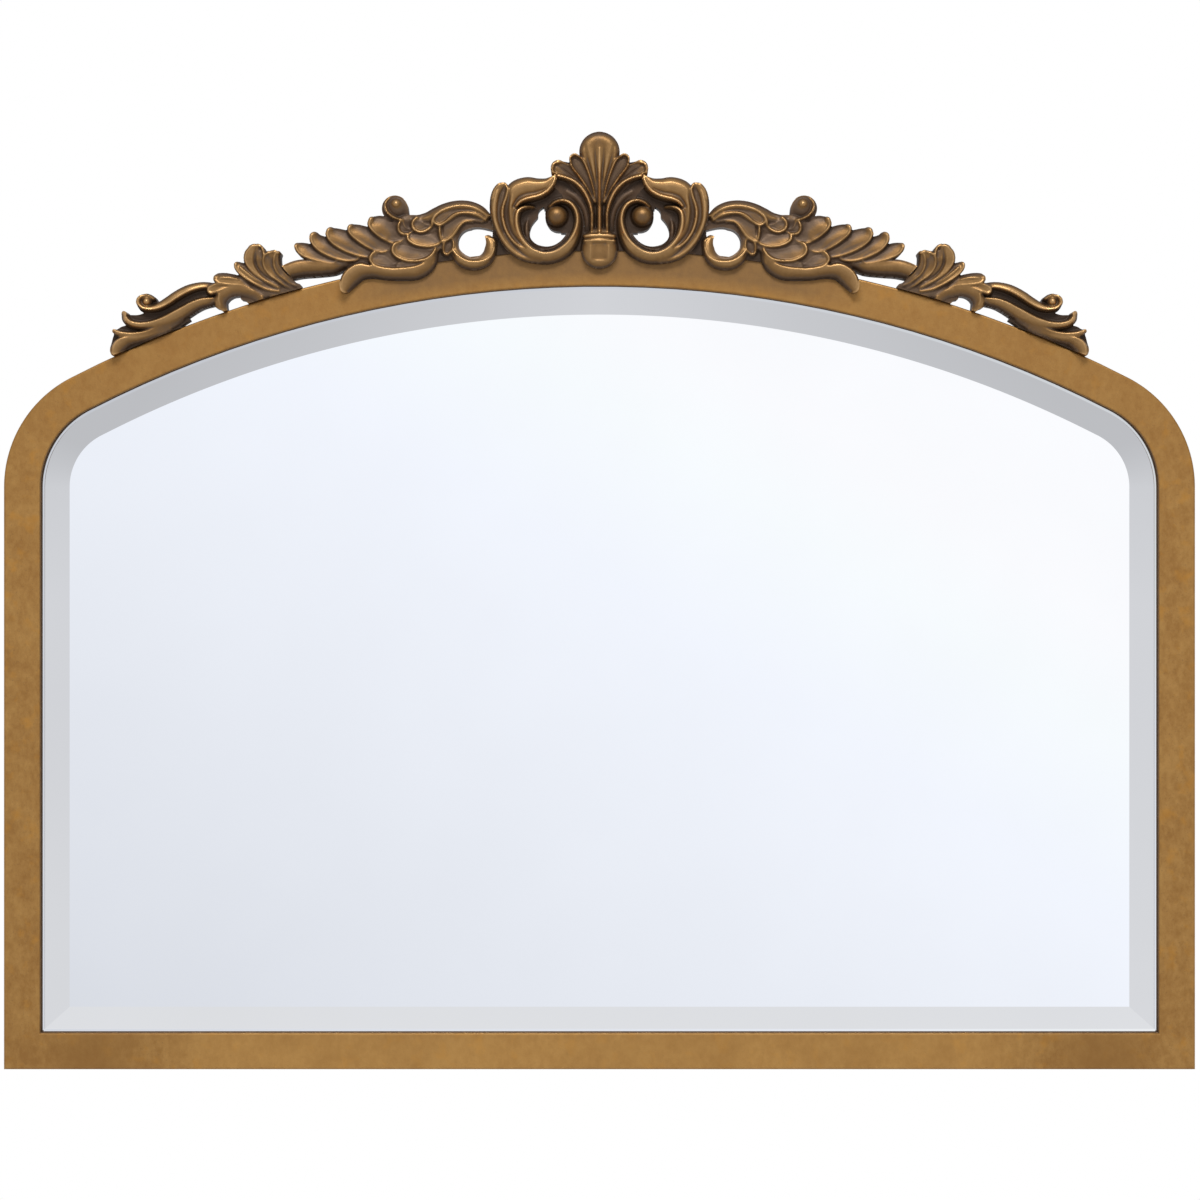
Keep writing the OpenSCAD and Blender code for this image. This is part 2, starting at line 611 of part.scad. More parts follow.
module right_hanger_strap() {
    color(steel) translate([hang_x, 0, hanger_z]) difference() {
        union() {
            translate([-strap_w / 2, -back, strap_w / 2 - strap_l])
                cube([strap_w, strap_t, strap_l - strap_w / 2]);
            out_at(0, strap_w / 2 - strap_l, back - strap_t) cylinder(r = strap_w / 2, h = strap_t);
            translate([-strap_w / 2, -hang_y, 0]) rotate([0, 90, 0]) cylinder(r = barrel_r, h = strap_w);
        }
        translate([-strap_w, -hang_y, 0]) rotate([0, 90, 0]) cylinder(r = bore_r, h = 2 * strap_w);
        for (z = screw_places)
            out_at(0, z, back - strap_t - 1) cylinder(r = screw_d / 2 + fit, h = strap_t + 2);
    }
}

module left_hanger_strap() {
    mirror([1, 0, 0]) right_hanger_strap();
}

module ring_arc(radius, from, to) {
    rotate([90, 0, 0]) rotate([0, 0, from]) rotate_extrude(angle = to - from)
        translate([radius, 0]) circle(wire_d / 2);
}

module right_hanger_ring() {
    color(steel) translate([hang_x, -hang_y, hanger_z]) {
        translate([-leg, 0, 0]) rotate([0, 90, 0]) cylinder(r = wire_d / 2, h = 2 * leg);
        both_sides() {
            translate([leg, 0, bend_r]) ring_arc(bend_r, 270, 360);
            translate([ring_r, 0, bend_r]) cylinder(r = wire_d / 2, h = ring_side - bend_r);
        }
        translate([0, 0, ring_side]) ring_arc(ring_r, 0, 180);
    }
}

module left_hanger_ring() {
    mirror([1, 0, 0]) right_hanger_ring();
}

// The two screws of one hanger; grown a little, they are the holes that they cut in the stile
module hanger_screw_pair(grow = 0) {
    for (z = screw_places) out_at(hang_x, hanger_z + z, back - strap_t) {
        cylinder(r = screw_d / 2 + grow, h = strap_t + screw_l + grow);
        if (grow == 0) translate([0, 0, -screw_head_t]) difference() {
            rotate_extrude() polygon([[0, 0], [screw_d * 0.6, 0], [screw_d, screw_head_t * 0.55],
                [screw_d, screw_head_t], [0, screw_head_t]]);
            translate([-screw_d * 0.7, -0.3, -1]) cube([screw_d * 1.4, 0.6, 1 + screw_head_t * 0.5]);
            translate([-0.3, -screw_d * 0.7, -1]) cube([0.6, screw_d * 1.4, 1 + screw_head_t * 0.5]);
        }
    }
}

module hanger_screws() {
    color(steel) both_sides() hanger_screw_pair();
}

module wall_pad(x, z) {
    out_at(x, z) rotate_extrude()
        polygon([[0, 0], [pad_d / 2 - 1, 0], [pad_d / 2, 1], [pad_d / 2, pad_t], [0, pad_t]]);
}

module wall_pads() {
    rest_r = arch_r - land_w / 2;
    color("#4a4642") both_sides() {
        wall_pad(half_w - 80, land_w / 2);
        wall_pad(rest_r * sin(20), arch_z + rest_r * cos(20));
    }
}

bottom_rail();
left_stile();
right_stile();
left_shoulder();
right_shoulder();
arch_rail();
frame_dowels();
corner_nails();
mirror_glass();
backing_board();
glazing_points();
crest_palmette();
left_c_scroll();
right_c_scroll();
left_inner_wing();
right_inner_wing();
left_outer_wing();
right_outer_wing();
crest_pins();
left_hanger_strap();
right_hanger_strap();
left_hanger_ring();
right_hanger_ring();
hanger_screws();
wall_pads();
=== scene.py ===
"""Dresses the arched mirror: bronze-gold frame, bevelled glass, carved crest, fittings and studio"""

import math

import bpy
import numpy as np
from bpy.props import FloatProperty, FloatVectorProperty, IntProperty, PointerProperty
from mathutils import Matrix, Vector


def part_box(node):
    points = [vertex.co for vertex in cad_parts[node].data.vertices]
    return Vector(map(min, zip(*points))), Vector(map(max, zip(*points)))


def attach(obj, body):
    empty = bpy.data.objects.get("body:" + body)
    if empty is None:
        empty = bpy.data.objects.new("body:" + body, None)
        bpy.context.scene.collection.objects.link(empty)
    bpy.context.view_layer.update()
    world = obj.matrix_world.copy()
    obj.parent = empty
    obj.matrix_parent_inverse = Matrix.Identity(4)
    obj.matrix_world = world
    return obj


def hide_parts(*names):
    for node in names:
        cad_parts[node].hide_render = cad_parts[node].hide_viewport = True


bl_info = {
    "name": "Arched Mirror With Carved Crest",
    "version": (1, 0, 0),
    "blender": (4, 5, 0),
    "location": "View3D > Sidebar > Mirror",
    "description": "Dresses the arched mirror: frame, bevelled glass, carved crest, fittings and stage",
    "category": "Add Mesh",
}

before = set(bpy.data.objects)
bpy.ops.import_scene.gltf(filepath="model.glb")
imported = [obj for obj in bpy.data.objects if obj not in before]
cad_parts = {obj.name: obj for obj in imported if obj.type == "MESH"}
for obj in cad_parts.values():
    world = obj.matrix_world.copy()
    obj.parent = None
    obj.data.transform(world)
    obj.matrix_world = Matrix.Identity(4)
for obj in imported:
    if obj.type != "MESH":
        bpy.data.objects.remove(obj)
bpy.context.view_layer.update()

# Lengths are in millimetres unless a comment or a unit says otherwise
MM = 0.001
BODY = "mirror_body"
FRAME_MEMBERS = ("bottom_rail", "left_stile", "right_stile", "left_shoulder", "right_shoulder", "arch_rail")
FITTINGS = (
    "corner_nails", "glazing_points", "crest_pins", "left_hanger_strap", "right_hanger_strap",
    "left_hanger_ring", "right_hanger_ring", "hanger_screws",
)

# Outside of the frame: arch and shoulders with their centres, and the planes of face and crest
HALF_WIDTH = 457.0
ARCH_R = 885.5
ARCH_Z = -256.4
SHOULDER_R = 94.0
SHOULDER_X = 363.0
SHOULDER_Z = 447.0
FACE_Y = -27.0
CREST_BACK_Y = -15.0
# Room between a casting and what it lies on or meets
BED_GAP = 0.05

# Edge of the glass, from the outside of the frame
GLASS_INSET = 23.5
GLASS_FOOT = 21.3
# Polished strip between the bevel and the lip: start, width, slope, step to the bevel, and the share of its
# painted shade kept at the foot
STRIP_INSET = 27.6
STRIP_WIDTH = 2.4
STRIP_SLOPE = 0.05
STRIP_STEP = 0.02
STRIP_FOOT_SHADE = 0.35
GRIND_ANGLE = math.radians(1.5)

# Carving: distances that stand for empty ground, the room kept round strokes and holes, the least height
OUTSIDE = -20.0
FAR = 99.0
STROKE_ROOM = 2.5
CUT_ROOM = 1
HOLE_ROOM = 3
# Step along a stroke: so many cells and a length, and the step along a drawn hole
STEP_CELLS = 1.5
STEP_LENGTH = 0.3
HOLE_STEP = 1.0
# Blur: its reach in radii, and the least share of casting that a mean is taken over
BLUR_REACH = 2.5
LEAST_SHARE = 1e-3
TINY = 1e-6
LOWEST = 0.5
BACK_WEAR = 0.16
SHARP_ANGLE = math.radians(62)
CARVING_SEED = 3
# Length of the stroke that makes a dome
DOT = 0.01
# How far a rim's points move to the outline, in cells, over a slope of at least this square
RIM_MOVE = 0.75
LEAST_STEEP = 0.3
# How far past the arch's edge a casting's back still lies on the face
FACE_OVERLAP = 3 * BED_GAP
# Share of a form's height at its very edge, and the fillet between lobes
FOOT = 0.3
LOBE_FILLET = 0.6
# Crease behind a rim, in widths of the rim, and the swell in the middle of a hollow
CREASE = (0.6, 1.9)
SWELL = 0.08
SWELL_REACH = 0.6
# Where a scoop rounds its edge, leans, sinks and takes painted shade, from -1 on its right to 1 on its left
SCOOP_EDGE = (0.2, 0.8)
SCOOP_LEAN = (-0.5, 1.0)
SCOOP_SINK = (0.25, 0.85)
SCOOP_SHADE = (-0.5, 0.7)
SCOOP_SHADE_DEPTH = 0.12
# Where that painted shade begins behind the rim, in widths of the rim
SCOOP_SHADE_START = (0.5, 1.5)
# Low relief that is smoothed away, and the waves of the hand-cut surface
CALM_RADIUS = 1.3
CALM_RELIEF = (0.05, 0.35)
WAVE_RADIUS = 2.5
# Wear of the patina, from 0 to 1: at one height, what it gains with height, and what low ground loses
WEAR_MIDDLE = 0.50
WEAR_HEIGHT = 0.6
WEAR_BY_HEIGHT = 0.34
LOW_GROUND = (0.32, 0.14)
LOW_GROUND_STAIN = 0.14
# Wear by relief over the places around: radius, least share of casting there, strong relief, and amount
WEAR_BY_RELIEF = ((0.9, 0.2, 0.45, 0.07), (2.6, 0.6, 1.4, 0.24), (6.0, 0.8, 3.0, 0.13))

# Gilt, in metres: paler bottom rail with stained ends, painted shade on the top, painted shade and grime
# under the crest, painted shade on the sight edge
RAIL_TOP = (0.045, 0.020)
STAIN_FROM = (0.335, 0.375)
STAIN_TO = (0.435, 0.405)
PALE_HALF = (0.34, 0.29)
SHADED_TOP = (0.42, 0.56)
CREST_SHADE_RADIUS = (MM * (ARCH_R - 26), MM * (ARCH_R - 17))
CREST_SHADE_HALF = (0.205, 0.150)
CREST_SHADE_DEPTH = (-0.022, -0.026)
SIGHT_DEPTH = (MM * -27.3, MM * -24.6)
SIGHT_FACING = (-0.1, -0.2)
MIDDLE = (0, 0, MM * 330.0)

# Camera, in metres except for the sensor
SENSOR = 36.0
PICTURE_WIDTH = 0.9204
CAMERA_X = 0.0004
CAMERA_Z = 0.3601

# Studio in the mirror: a white sheet ahead, whose places are tangents of the direction, and grey walls
SHEET_LIGHT = 0.92
SHEET_ACROSS = 0.53
SHEET_UP = 0.80
SHEET_TINT = (1.0, 1.028, 1.10)
SHEET_BRIGHTEST = (1.0, 1.0, 1.02)
SHEET_HALF_WIDTH = 0.26
SHEET_TOP = 0.165
SHEET_FOOT = 0.21
SHEET_CORNER = 4
SHEET_EDGE = (0.9, 1.1)
LEAST_AHEAD = 0.05
LOW_WALL = (-0.04, -0.30)
CORNER_WALL = (0.0, 0.045)
CORNER_SHADE = 0.22
STUDIO_GREY = (0.675, 0.68, 0.705)
STUDIO_LOW = (0.76, 0.765, 0.785)
WHITE = (1, 1, 1)
BLACK = (0, 0, 0)
AMBIENT = 0.30

# Lamps: name, place, aim and size in metres, power in watts, and whether shiny surfaces show it
STUDIO_LAMPS = (
    ("key_lamp", (0.0, -2.1, 2.6), (0.0, 0.0, 0.5), (1.6, 0.8), 62.0, True),
    ("fill_lamp", (0.0, -3.0, 0.4), (0.0, 0.0, 0.4), (3.0, 2.4), 7.0, False),
)
FLOOR_REACH = 3200.0
FLOOR_CORNERS = 96
FLOOR_FADE = (0.45, 0.95)


class MirrorSizes(bpy.types.PropertyGroup):
    """Sizes of the dressed pieces"""

    relief: FloatProperty(
        name="Relief", description="Height of the highest carving over the frame's face, in mm", default=12.0)
    grain: FloatProperty(
        name="Grain", description="Fineness of the carved surface, in mm", default=0.5)
    softness: FloatProperty(
        name="Softness", description="How far the edges of the carving are worn round, in mm", default=0.55)
    hand: FloatProperty(
        name="Hand", description="Unevenness left by the hand that cut the pattern, in mm", default=0.05)
    bevel_width: FloatProperty(
        name="Bevel width", description="Width of the bevel ground on the glass, in mm", default=26.0)
    bevel_drop: FloatProperty(
        name="Bevel drop", description="Thickness that the bevel takes off the edge, in mm", default=2.0)
    arc_steps: IntProperty(
        name="Arc steps", description="Segments in each round stretch of the glass", default=96)
    floor_drop: FloatProperty(
        name="Floor drop", description="Distance of the floor below the frame", default=1.1, unit="LENGTH")
    camera_distance: FloatProperty(
        name="Camera distance", description="Distance of the camera from the frame's face", default=2.4,
        unit="LENGTH")


class MirrorColours(bpy.types.PropertyGroup):
    """Colours of the finishes"""

    gilt: FloatVectorProperty(
        name="Gilt", description="Satin gilt of the frame", subtype="COLOR",
        default=(0.455, 0.245, 0.068))
    # Also the colour of the painted shade on the frame's top
    gilt_shade: FloatVectorProperty(
        name="Gilt shade", description="Darker clouds in the frame's gilt", subtype="COLOR",
        default=(0.335, 0.162, 0.038))
    amber: FloatVectorProperty(
        name="Amber", description="Warm spots in the frame's gilt", subtype="COLOR",
        default=(0.52, 0.235, 0.032))
    rubbed: FloatVectorProperty(
        name="Rubbed gilt", description="Gilt rubbed bright on the ridges of the carving", subtype="COLOR",
        default=(0.63, 0.38, 0.165))
    # Also the colour of the painted shade and grime under the crest on the frame
    bronze: FloatVectorProperty(
        name="Bronze", description="Bronze tone of the carving", subtype="COLOR",
        default=(0.215, 0.116, 0.042))
    wax: FloatVectorProperty(
        name="Wax", description="Brown wax that dulls the patina", subtype="COLOR",
        default=(0.130, 0.082, 0.049))
    # Also the colour of the painted shade on the frame's sight wall
    umber: FloatVectorProperty(
        name="Umber", description="Umber patina in the hollows", subtype="COLOR",
        default=(0.078, 0.042, 0.021))
    silver: FloatVectorProperty(
        name="Silver", description="Silvering of the glass", subtype="COLOR",
        default=(0.96, 0.97, 0.98))
    board: FloatVectorProperty(
        name="Hardboard", description="Brown hardboard of the back", subtype="COLOR",
        default=(0.20, 0.105, 0.050))
    beech: FloatVectorProperty(
        name="Beech", description="Pale wood of the dowels", subtype="COLOR",
        default=(0.52, 0.34, 0.19))
    zinc: FloatVectorProperty(
        name="Zinc", description="Zinc plating of the steel fittings", subtype="COLOR",
        default=(0.56, 0.57, 0.58))
    rubber: FloatVectorProperty(
        name="Rubber", description="Grey rubber of the wall pads", subtype="COLOR",
        default=(0.045, 0.045, 0.047))
    paper: FloatVectorProperty(
        name="Studio floor", description="Pale paper of the studio floor", subtype="COLOR",
        default=(0.86, 0.86, 0.86))


def curve_through(points, gap):
    """Smooth curve through given points, sampled about every gap along it"""
    p = np.array(points, float)
    padded = np.vstack([2 * p[0] - p[1], p, 2 * p[-1] - p[-2]])
    rows = []
    for i in range(len(p) - 1):
        a, b, c, d = padded[i:i + 4]
        steps = max(2, math.ceil(math.dist(b[:2], c[:2]) / gap))
        for t in np.arange(steps) / steps:
            rows.append(0.5 * (2 * b + (c - a) * t + (2 * a - 5 * b + 4 * c - d) * t ** 2
                               + (3 * b - a - 3 * c + d) * t ** 3))
    return np.vstack([rows, p[-1]])


def blurred(values, radius):
    """Gaussian blur of a grid; radius is in cells"""
    reach = math.ceil(BLUR_REACH * radius)
    weights = np.exp(-0.5 * (np.arange(-reach, reach + 1) / radius) ** 2)
    weights /= weights.sum()
    for axis in (0, 1):
        pad = [(reach, reach) if a == axis else (0, 0) for a in (0, 1)]
        wide = np.pad(values, pad, mode="edge")
        total = 0
        for k, weight in enumerate(weights):
            part = [slice(None), slice(None)]
            part[axis] = slice(k, k + values.shape[axis])
            total = total + weight * wide[tuple(part)]
        values = total
    return values


def smoothstep(low, high, value):
    """Rises smoothly from 0 at low to 1 at high"""
    t = np.clip((value - low) / (high - low), 0, 1)
    return t * t * (3 - 2 * t)


def quarter_round(share):
    """Rises like a quarter circle from 0 at the edge to 1"""
    return np.sqrt(1 - (1 - np.clip(share, 0, 1)) ** 2)


def rounded(share):
    """Rises like a quarter circle from the foot of a form to its full height"""
    return FOOT + (1 - FOOT) * quarter_round(share)


def inside_rim(points, rim):
    """Moves the points of a traced right rim to its left, to the middle of the lobe that it borders"""
    p = np.array(points, float)
    along = np.gradient(p[:, :2], axis=0)
    along /= np.linalg.norm(along, axis=1, keepdims=True)
    reach = (p[:, 2] - rim)[:, None]
    return np.hstack([p[:, :2] + reach * np.stack([-along[:, 1], along[:, 0]], -1), p[:, 2:]])


def spoon(inside, rim, width):
    """Depth of a hollow behind its rim: deepest in the crease along the rim, a little less in the middle"""
    start, end = (rim * place for place in CREASE)
    return smoothstep(start, end, inside) - SWELL * smoothstep(end, end + SWELL_REACH * width, inside)


class Carving:
    """A casting as heights over the frame's face, on a fine grid over x and z

    A stroke's points hold x, z, half its width, and the share of the relief that it reaches.
    """

    def __init__(self, low, high, grain, relief, mirrored=False):
        self.first = [math.floor(v / grain) for v in low]
        self.xs, self.zs = (grain * np.arange(math.floor(a / grain), math.ceil(b / grain) + 1)
                            for a, b in zip(low, high))
        self.grain, self.relief, self.mirrored = grain, relief, mirrored
        self.x, self.z = np.meshgrid(self.xs, self.zs, indexing="ij")
        self.inside = np.full(self.x.shape, OUTSIDE)
        self.level = np.zeros(self.x.shape)
        # Changes of wear: patina, and painted shade and highlights at some strokes
        self.tone = np.zeros(self.x.shape)
        self.beds_on_face = True

    def near(self, points, room=STROKE_ROOM, share=0.0):
        """For the cells round a stroke: window, distance inside, place across, half width and share"""
        points = np.array(points, float)
        if points.shape[1] == 3:
            points = np.column_stack([points, np.full(len(points), share)])
        line = curve_through(points, STEP_CELLS * self.grain + STEP_LENGTH)
        wide = line[:, 2].max() + room
        low_x, high_x = line[:, 0].min() - wide, line[:, 0].max() + wide
        if self.mirrored:
            low_x, high_x = -high_x, max(high_x, -low_x)
        i, j = np.searchsorted(self.xs, [low_x, high_x])
        k, m = np.searchsorted(self.zs, [line[:, 1].min() - wide, line[:, 1].max() + wide])
        window = (slice(i, j), slice(k, m))
        x, z = self.x[window], self.z[window]
        if self.mirrored:
            x = abs(x)
        inside = np.full(x.shape, -FAR)
        across = np.zeros(x.shape)
        height = np.zeros(x.shape)
        width = np.ones(x.shape)
        for a, b in zip(line[:-1], line[1:]):
            dx, dz = b[:2] - a[:2]
            t = np.clip(((x - a[0]) * dx + (z - a[1]) * dz) / (dx * dx + dz * dz), 0, 1)
            ex, ez = x - a[0] - t * dx, z - a[1] - t * dz
            w = a[2] + t * (b[2] - a[2])
            depth = w - np.hypot(ex, ez)
            closer = depth > inside
            inside = np.where(closer, depth, inside)
            across = np.where(closer, (dx * ez - dz * ex) / (math.hypot(dx, dz) * w), across)
            height = np.where(closer, a[3] + t * (b[3] - a[3]), height)
            width = np.where(closer, w, width)
        return window, inside, across, width, height

    def add(self, window, inside, share, fillet):
        """Joins a form to what is there, with a small fillet where they meet"""
        level = share * self.relief
        old, ground = self.level[window], self.inside[window] > 0
        meet = np.maximum(fillet - abs(old - level), 0) ** 2 / (4 * max(fillet, TINY))
        joined = np.where(ground, np.maximum(old, level) + meet * (inside > fillet / 2), level)
        self.level[window] = np.where(inside > 0, joined, old)
        self.inside[window] = np.maximum(self.inside[window], inside)

    def leaf(self, points, rim=1.4, hollow=0.2):
        """A lobe with a raised rim all round and a shallow hollow in the middle"""
        window, inside, across, width, height = self.near(points)
        share = height * rounded(inside / rim) * (1 - hollow * spoon(inside, rim, width))
        self.add(window, inside, share, LOBE_FILLET)

    def scoop(self, points, rim=1.4, hollow=0.18, left=0.62):
        """A lobe that rises from its left to a rim on its right and tip; the points trace the rim"""
        window, inside, across, width, height = self.near(inside_rim(points, rim))
        edge = rounded(inside / (rim * (1 + 2 * smoothstep(*SCOOP_EDGE, across))))
        sunk = np.maximum(spoon(inside, rim, width), smoothstep(*SCOOP_SINK, across))
        lean = (1 - hollow - left) * smoothstep(*SCOOP_LEAN, across)
        self.add(window, inside, height * edge * (1 - hollow * sunk - lean), LOBE_FILLET)
        # Painted shade on the low left side of the lobe, beside its neighbour's rim
        shaded_side = smoothstep(*SCOOP_SHADE, across) * smoothstep(*SCOOP_SHADE_START, inside / rim)
        self.tone[window] -= SCOOP_SHADE_DEPTH * shaded_side

    def rib(self, points, fillet=0.8):
        """A rounded rib"""
        window, inside, across, width, height = self.near(points)
        self.add(window, inside, height * rounded(inside / width), fillet)

    def dome(self, x, z, radius, height, fillet=0.2):
        """A bead or a ball"""
        points = [[x, z, radius], [x + DOT, z, radius]]
        window, inside, across, width, height = self.near(points, share=height)
        self.add(window, inside, height * quarter_round(inside / width), fillet)

    def band(self, points, profile, fillet=0.4):
        """A broad stroke with a drawn section, from its right side at -1 to its left side at 1"""
        window, inside, across, width, height = self.near(points)
        place, share = np.array(profile).T
        self.add(window, inside, height * np.interp(np.clip(across, -1, 1), place, share), fillet)

    def ground(self, points, share=0.0, over=30.0):
        """A flat ground behind the lobes; over is how far it may hang over the frame's face"""
        window, inside, across, width, height = self.near(points, share=share)
        lap = np.hypot(self.x[window], self.z[window] - ARCH_Z) - ARCH_R + over
        self.add(window, np.minimum(inside, lap), height, 0)

    def groove(self, points):
        """A cut with a rounded bottom; each point's last number is its depth"""
        window, inside, across, width, depth = self.near(points, CUT_ROOM)
        self.level[window] -= depth * smoothstep(0, 1, inside / width)

    def sink(self, low, high, depth, soft):
        """Sinks a rectangular panel"""
        for axis, place in ((0, self.x), (1, self.z)):
            middle, half = (low[axis] + high[axis]) / 2, (high[axis] - low[axis]) / 2
            depth = depth * smoothstep(half + soft / 2, half - soft / 2, abs(place - middle))
        self.level -= depth

    def tone_shift(self, points, change=0.0):
        """Deepens or lightens the patina, and paints shade and highlights at some strokes; each point's last
        number, or change, is the change of wear and shading
        """
        window, inside, across, width, amount = self.near(points, CUT_ROOM, change)
        self.tone[window] += amount * smoothstep(0, 1, inside / width)

    def pierce(self, points):
        """A hole or a notch in the outline"""
        window, inside, across, width, height = self.near(points, HOLE_ROOM)
        self.inside[window] = np.minimum(self.inside[window], -inside)

    def cut(self, points):
        """A hole with a drawn outline"""
        line = curve_through(points + points[:1], HOLE_STEP)
        reach = np.full(self.x.shape, FAR)
        within = np.zeros(self.x.shape, bool)
        for (ax, az), (bx, bz) in zip(line[:-1], line[1:]):
            dx, dz = bx - ax, bz - az
            t = np.clip(((self.x - ax) * dx + (self.z - az) * dz) / (dx * dx + dz * dz), 0, 1)
            reach = np.minimum(reach, np.hypot(self.x - ax - t * dx, self.z - az - t * dz))
            spans = (self.z < az) != (self.z < bz)
            within ^= spans & (dx * (self.z - az) * np.sign(dz) > (self.x - ax) * abs(dz))
        self.inside = np.minimum(self.inside, np.where(within, -reach, reach))

    def keep_off(self, other, gap):
        """Leaves the room of a neighbour on the same grid free"""
        mine, theirs = [], []
        for axis in (0, 1):
            shift = other.first[axis] - self.first[axis]
            low, high = max(shift, 0), min(self.x.shape[axis], shift + other.x.shape[axis])
            mine.append(slice(low, high))
            theirs.append(slice(low - shift, high - shift))
        mine, theirs = tuple(mine), tuple(theirs)
        self.inside[mine] = np.minimum(self.inside[mine], -other.inside[theirs] - gap)
        if self.mirrored:
            self.inside = np.minimum(self.inside, self.inside[::-1])

    def local_mean(self, values, radius, least=LEAST_SHARE):
        """Mean over the casting round each cell, in a radius and for at least this share of casting"""
        solid = (self.inside > 0).astype(float)
        cells = radius / self.grain
        return blurred(values * solid, cells) / np.maximum(blurred(solid, cells), least)

    def finish(self, soften, hand, seed):
        """Softens the carving as a worn casting, with the unevenness of a hand-cut pattern"""
        smooth = self.local_mean(self.level, soften)
        calm = self.local_mean(smooth, CALM_RADIUS)
        smooth = calm + (smooth - calm) * smoothstep(*CALM_RELIEF, abs(smooth - calm))
        noise = np.random.default_rng(seed).normal(size=self.level.shape)
        waves = blurred(noise, WAVE_RADIUS / self.grain)
        waves /= waves.std()
        self.level = np.clip(smooth + hand * waves, LOWEST, self.relief)

    def wear_and_shading(self):
        """0 in the hollows, where the patina stays, to 1 on the ridges, where the gilt is rubbed bright; the
        tones add painted shade and highlights at some strokes
        """
        height = self.level / self.relief
        value = WEAR_MIDDLE + WEAR_BY_HEIGHT * (height - WEAR_HEIGHT) + self.tone
        value -= LOW_GROUND_STAIN * smoothstep(*LOW_GROUND, height)
        for radius, least, strong, amount in WEAR_BY_RELIEF:
            value += amount * np.tanh((self.level - self.local_mean(self.level, radius, least)) / strong)
        return np.clip(value, 0, 1)


# Each point of a stroke is x, z and half width, then the share of the relief where that isn't given once
SCROLL_CAP = [[35.4, 683.2, 1.0, 0.8], [40, 677.3, 5.4, 0.84], [48, 675.2, 7.5, 0.86],
              [56, 674.9, 8.7, 0.86], [63.5, 671.3, 8.8, 0.84], [67.6, 663, 5.6, 0.8],
              [68.4, 653, 4.4, 0.76], [66.8, 644, 4.2, 0.74], [62.5, 635.6, 4, 0.74], [56, 629, 3.6, 0.7],
              [48, 624.8, 3, 0.66]]
SCROLL_FINGER = [[75.4, 673.5, 5.4, 0.74], [77.2, 668.3, 6.1, 0.78], [78.6, 660, 5.5, 0.8],
                 [78, 650, 4.5, 0.78], [74.8, 641, 4.1, 0.74], [69.6, 632.6, 4, 0.7],
                 [62.5, 626, 3.8, 0.66], [55, 622.4, 3.6, 0.62], [47, 620.6, 3, 0.6]]
SCROLL_BAND = [[52, 660, 4], [59, 655, 7], [60.5, 644, 8.5], [56.5, 634, 8.3], [49, 627, 8],
               [41, 625, 7.4], [33, 627, 8], [25.5, 633, 8.4], [20.3, 642, 8], [19, 650, 7],
               [20.5, 658, 6.4], [26, 662, 5.6], [33, 661, 5.4], [37, 656, 4.6]]
SCROLL_OUTER = [[20.4, 662.8, 0.7, 0.7], [16.6, 656, 1.6, 0.74], [15.8, 648, 2.1, 0.78],
                [18, 638.6, 3.1, 0.8], [23, 630, 4, 0.8], [30.6, 624.2, 4.3, 0.8], [40, 621.6, 4.3, 0.8],
                [50, 622.6, 4.2, 0.8], [58, 627, 4, 0.78], [63.5, 633.5, 3.6, 0.74],
                [66.3, 641, 3.2, 0.7], [67, 650, 3, 0.66]]


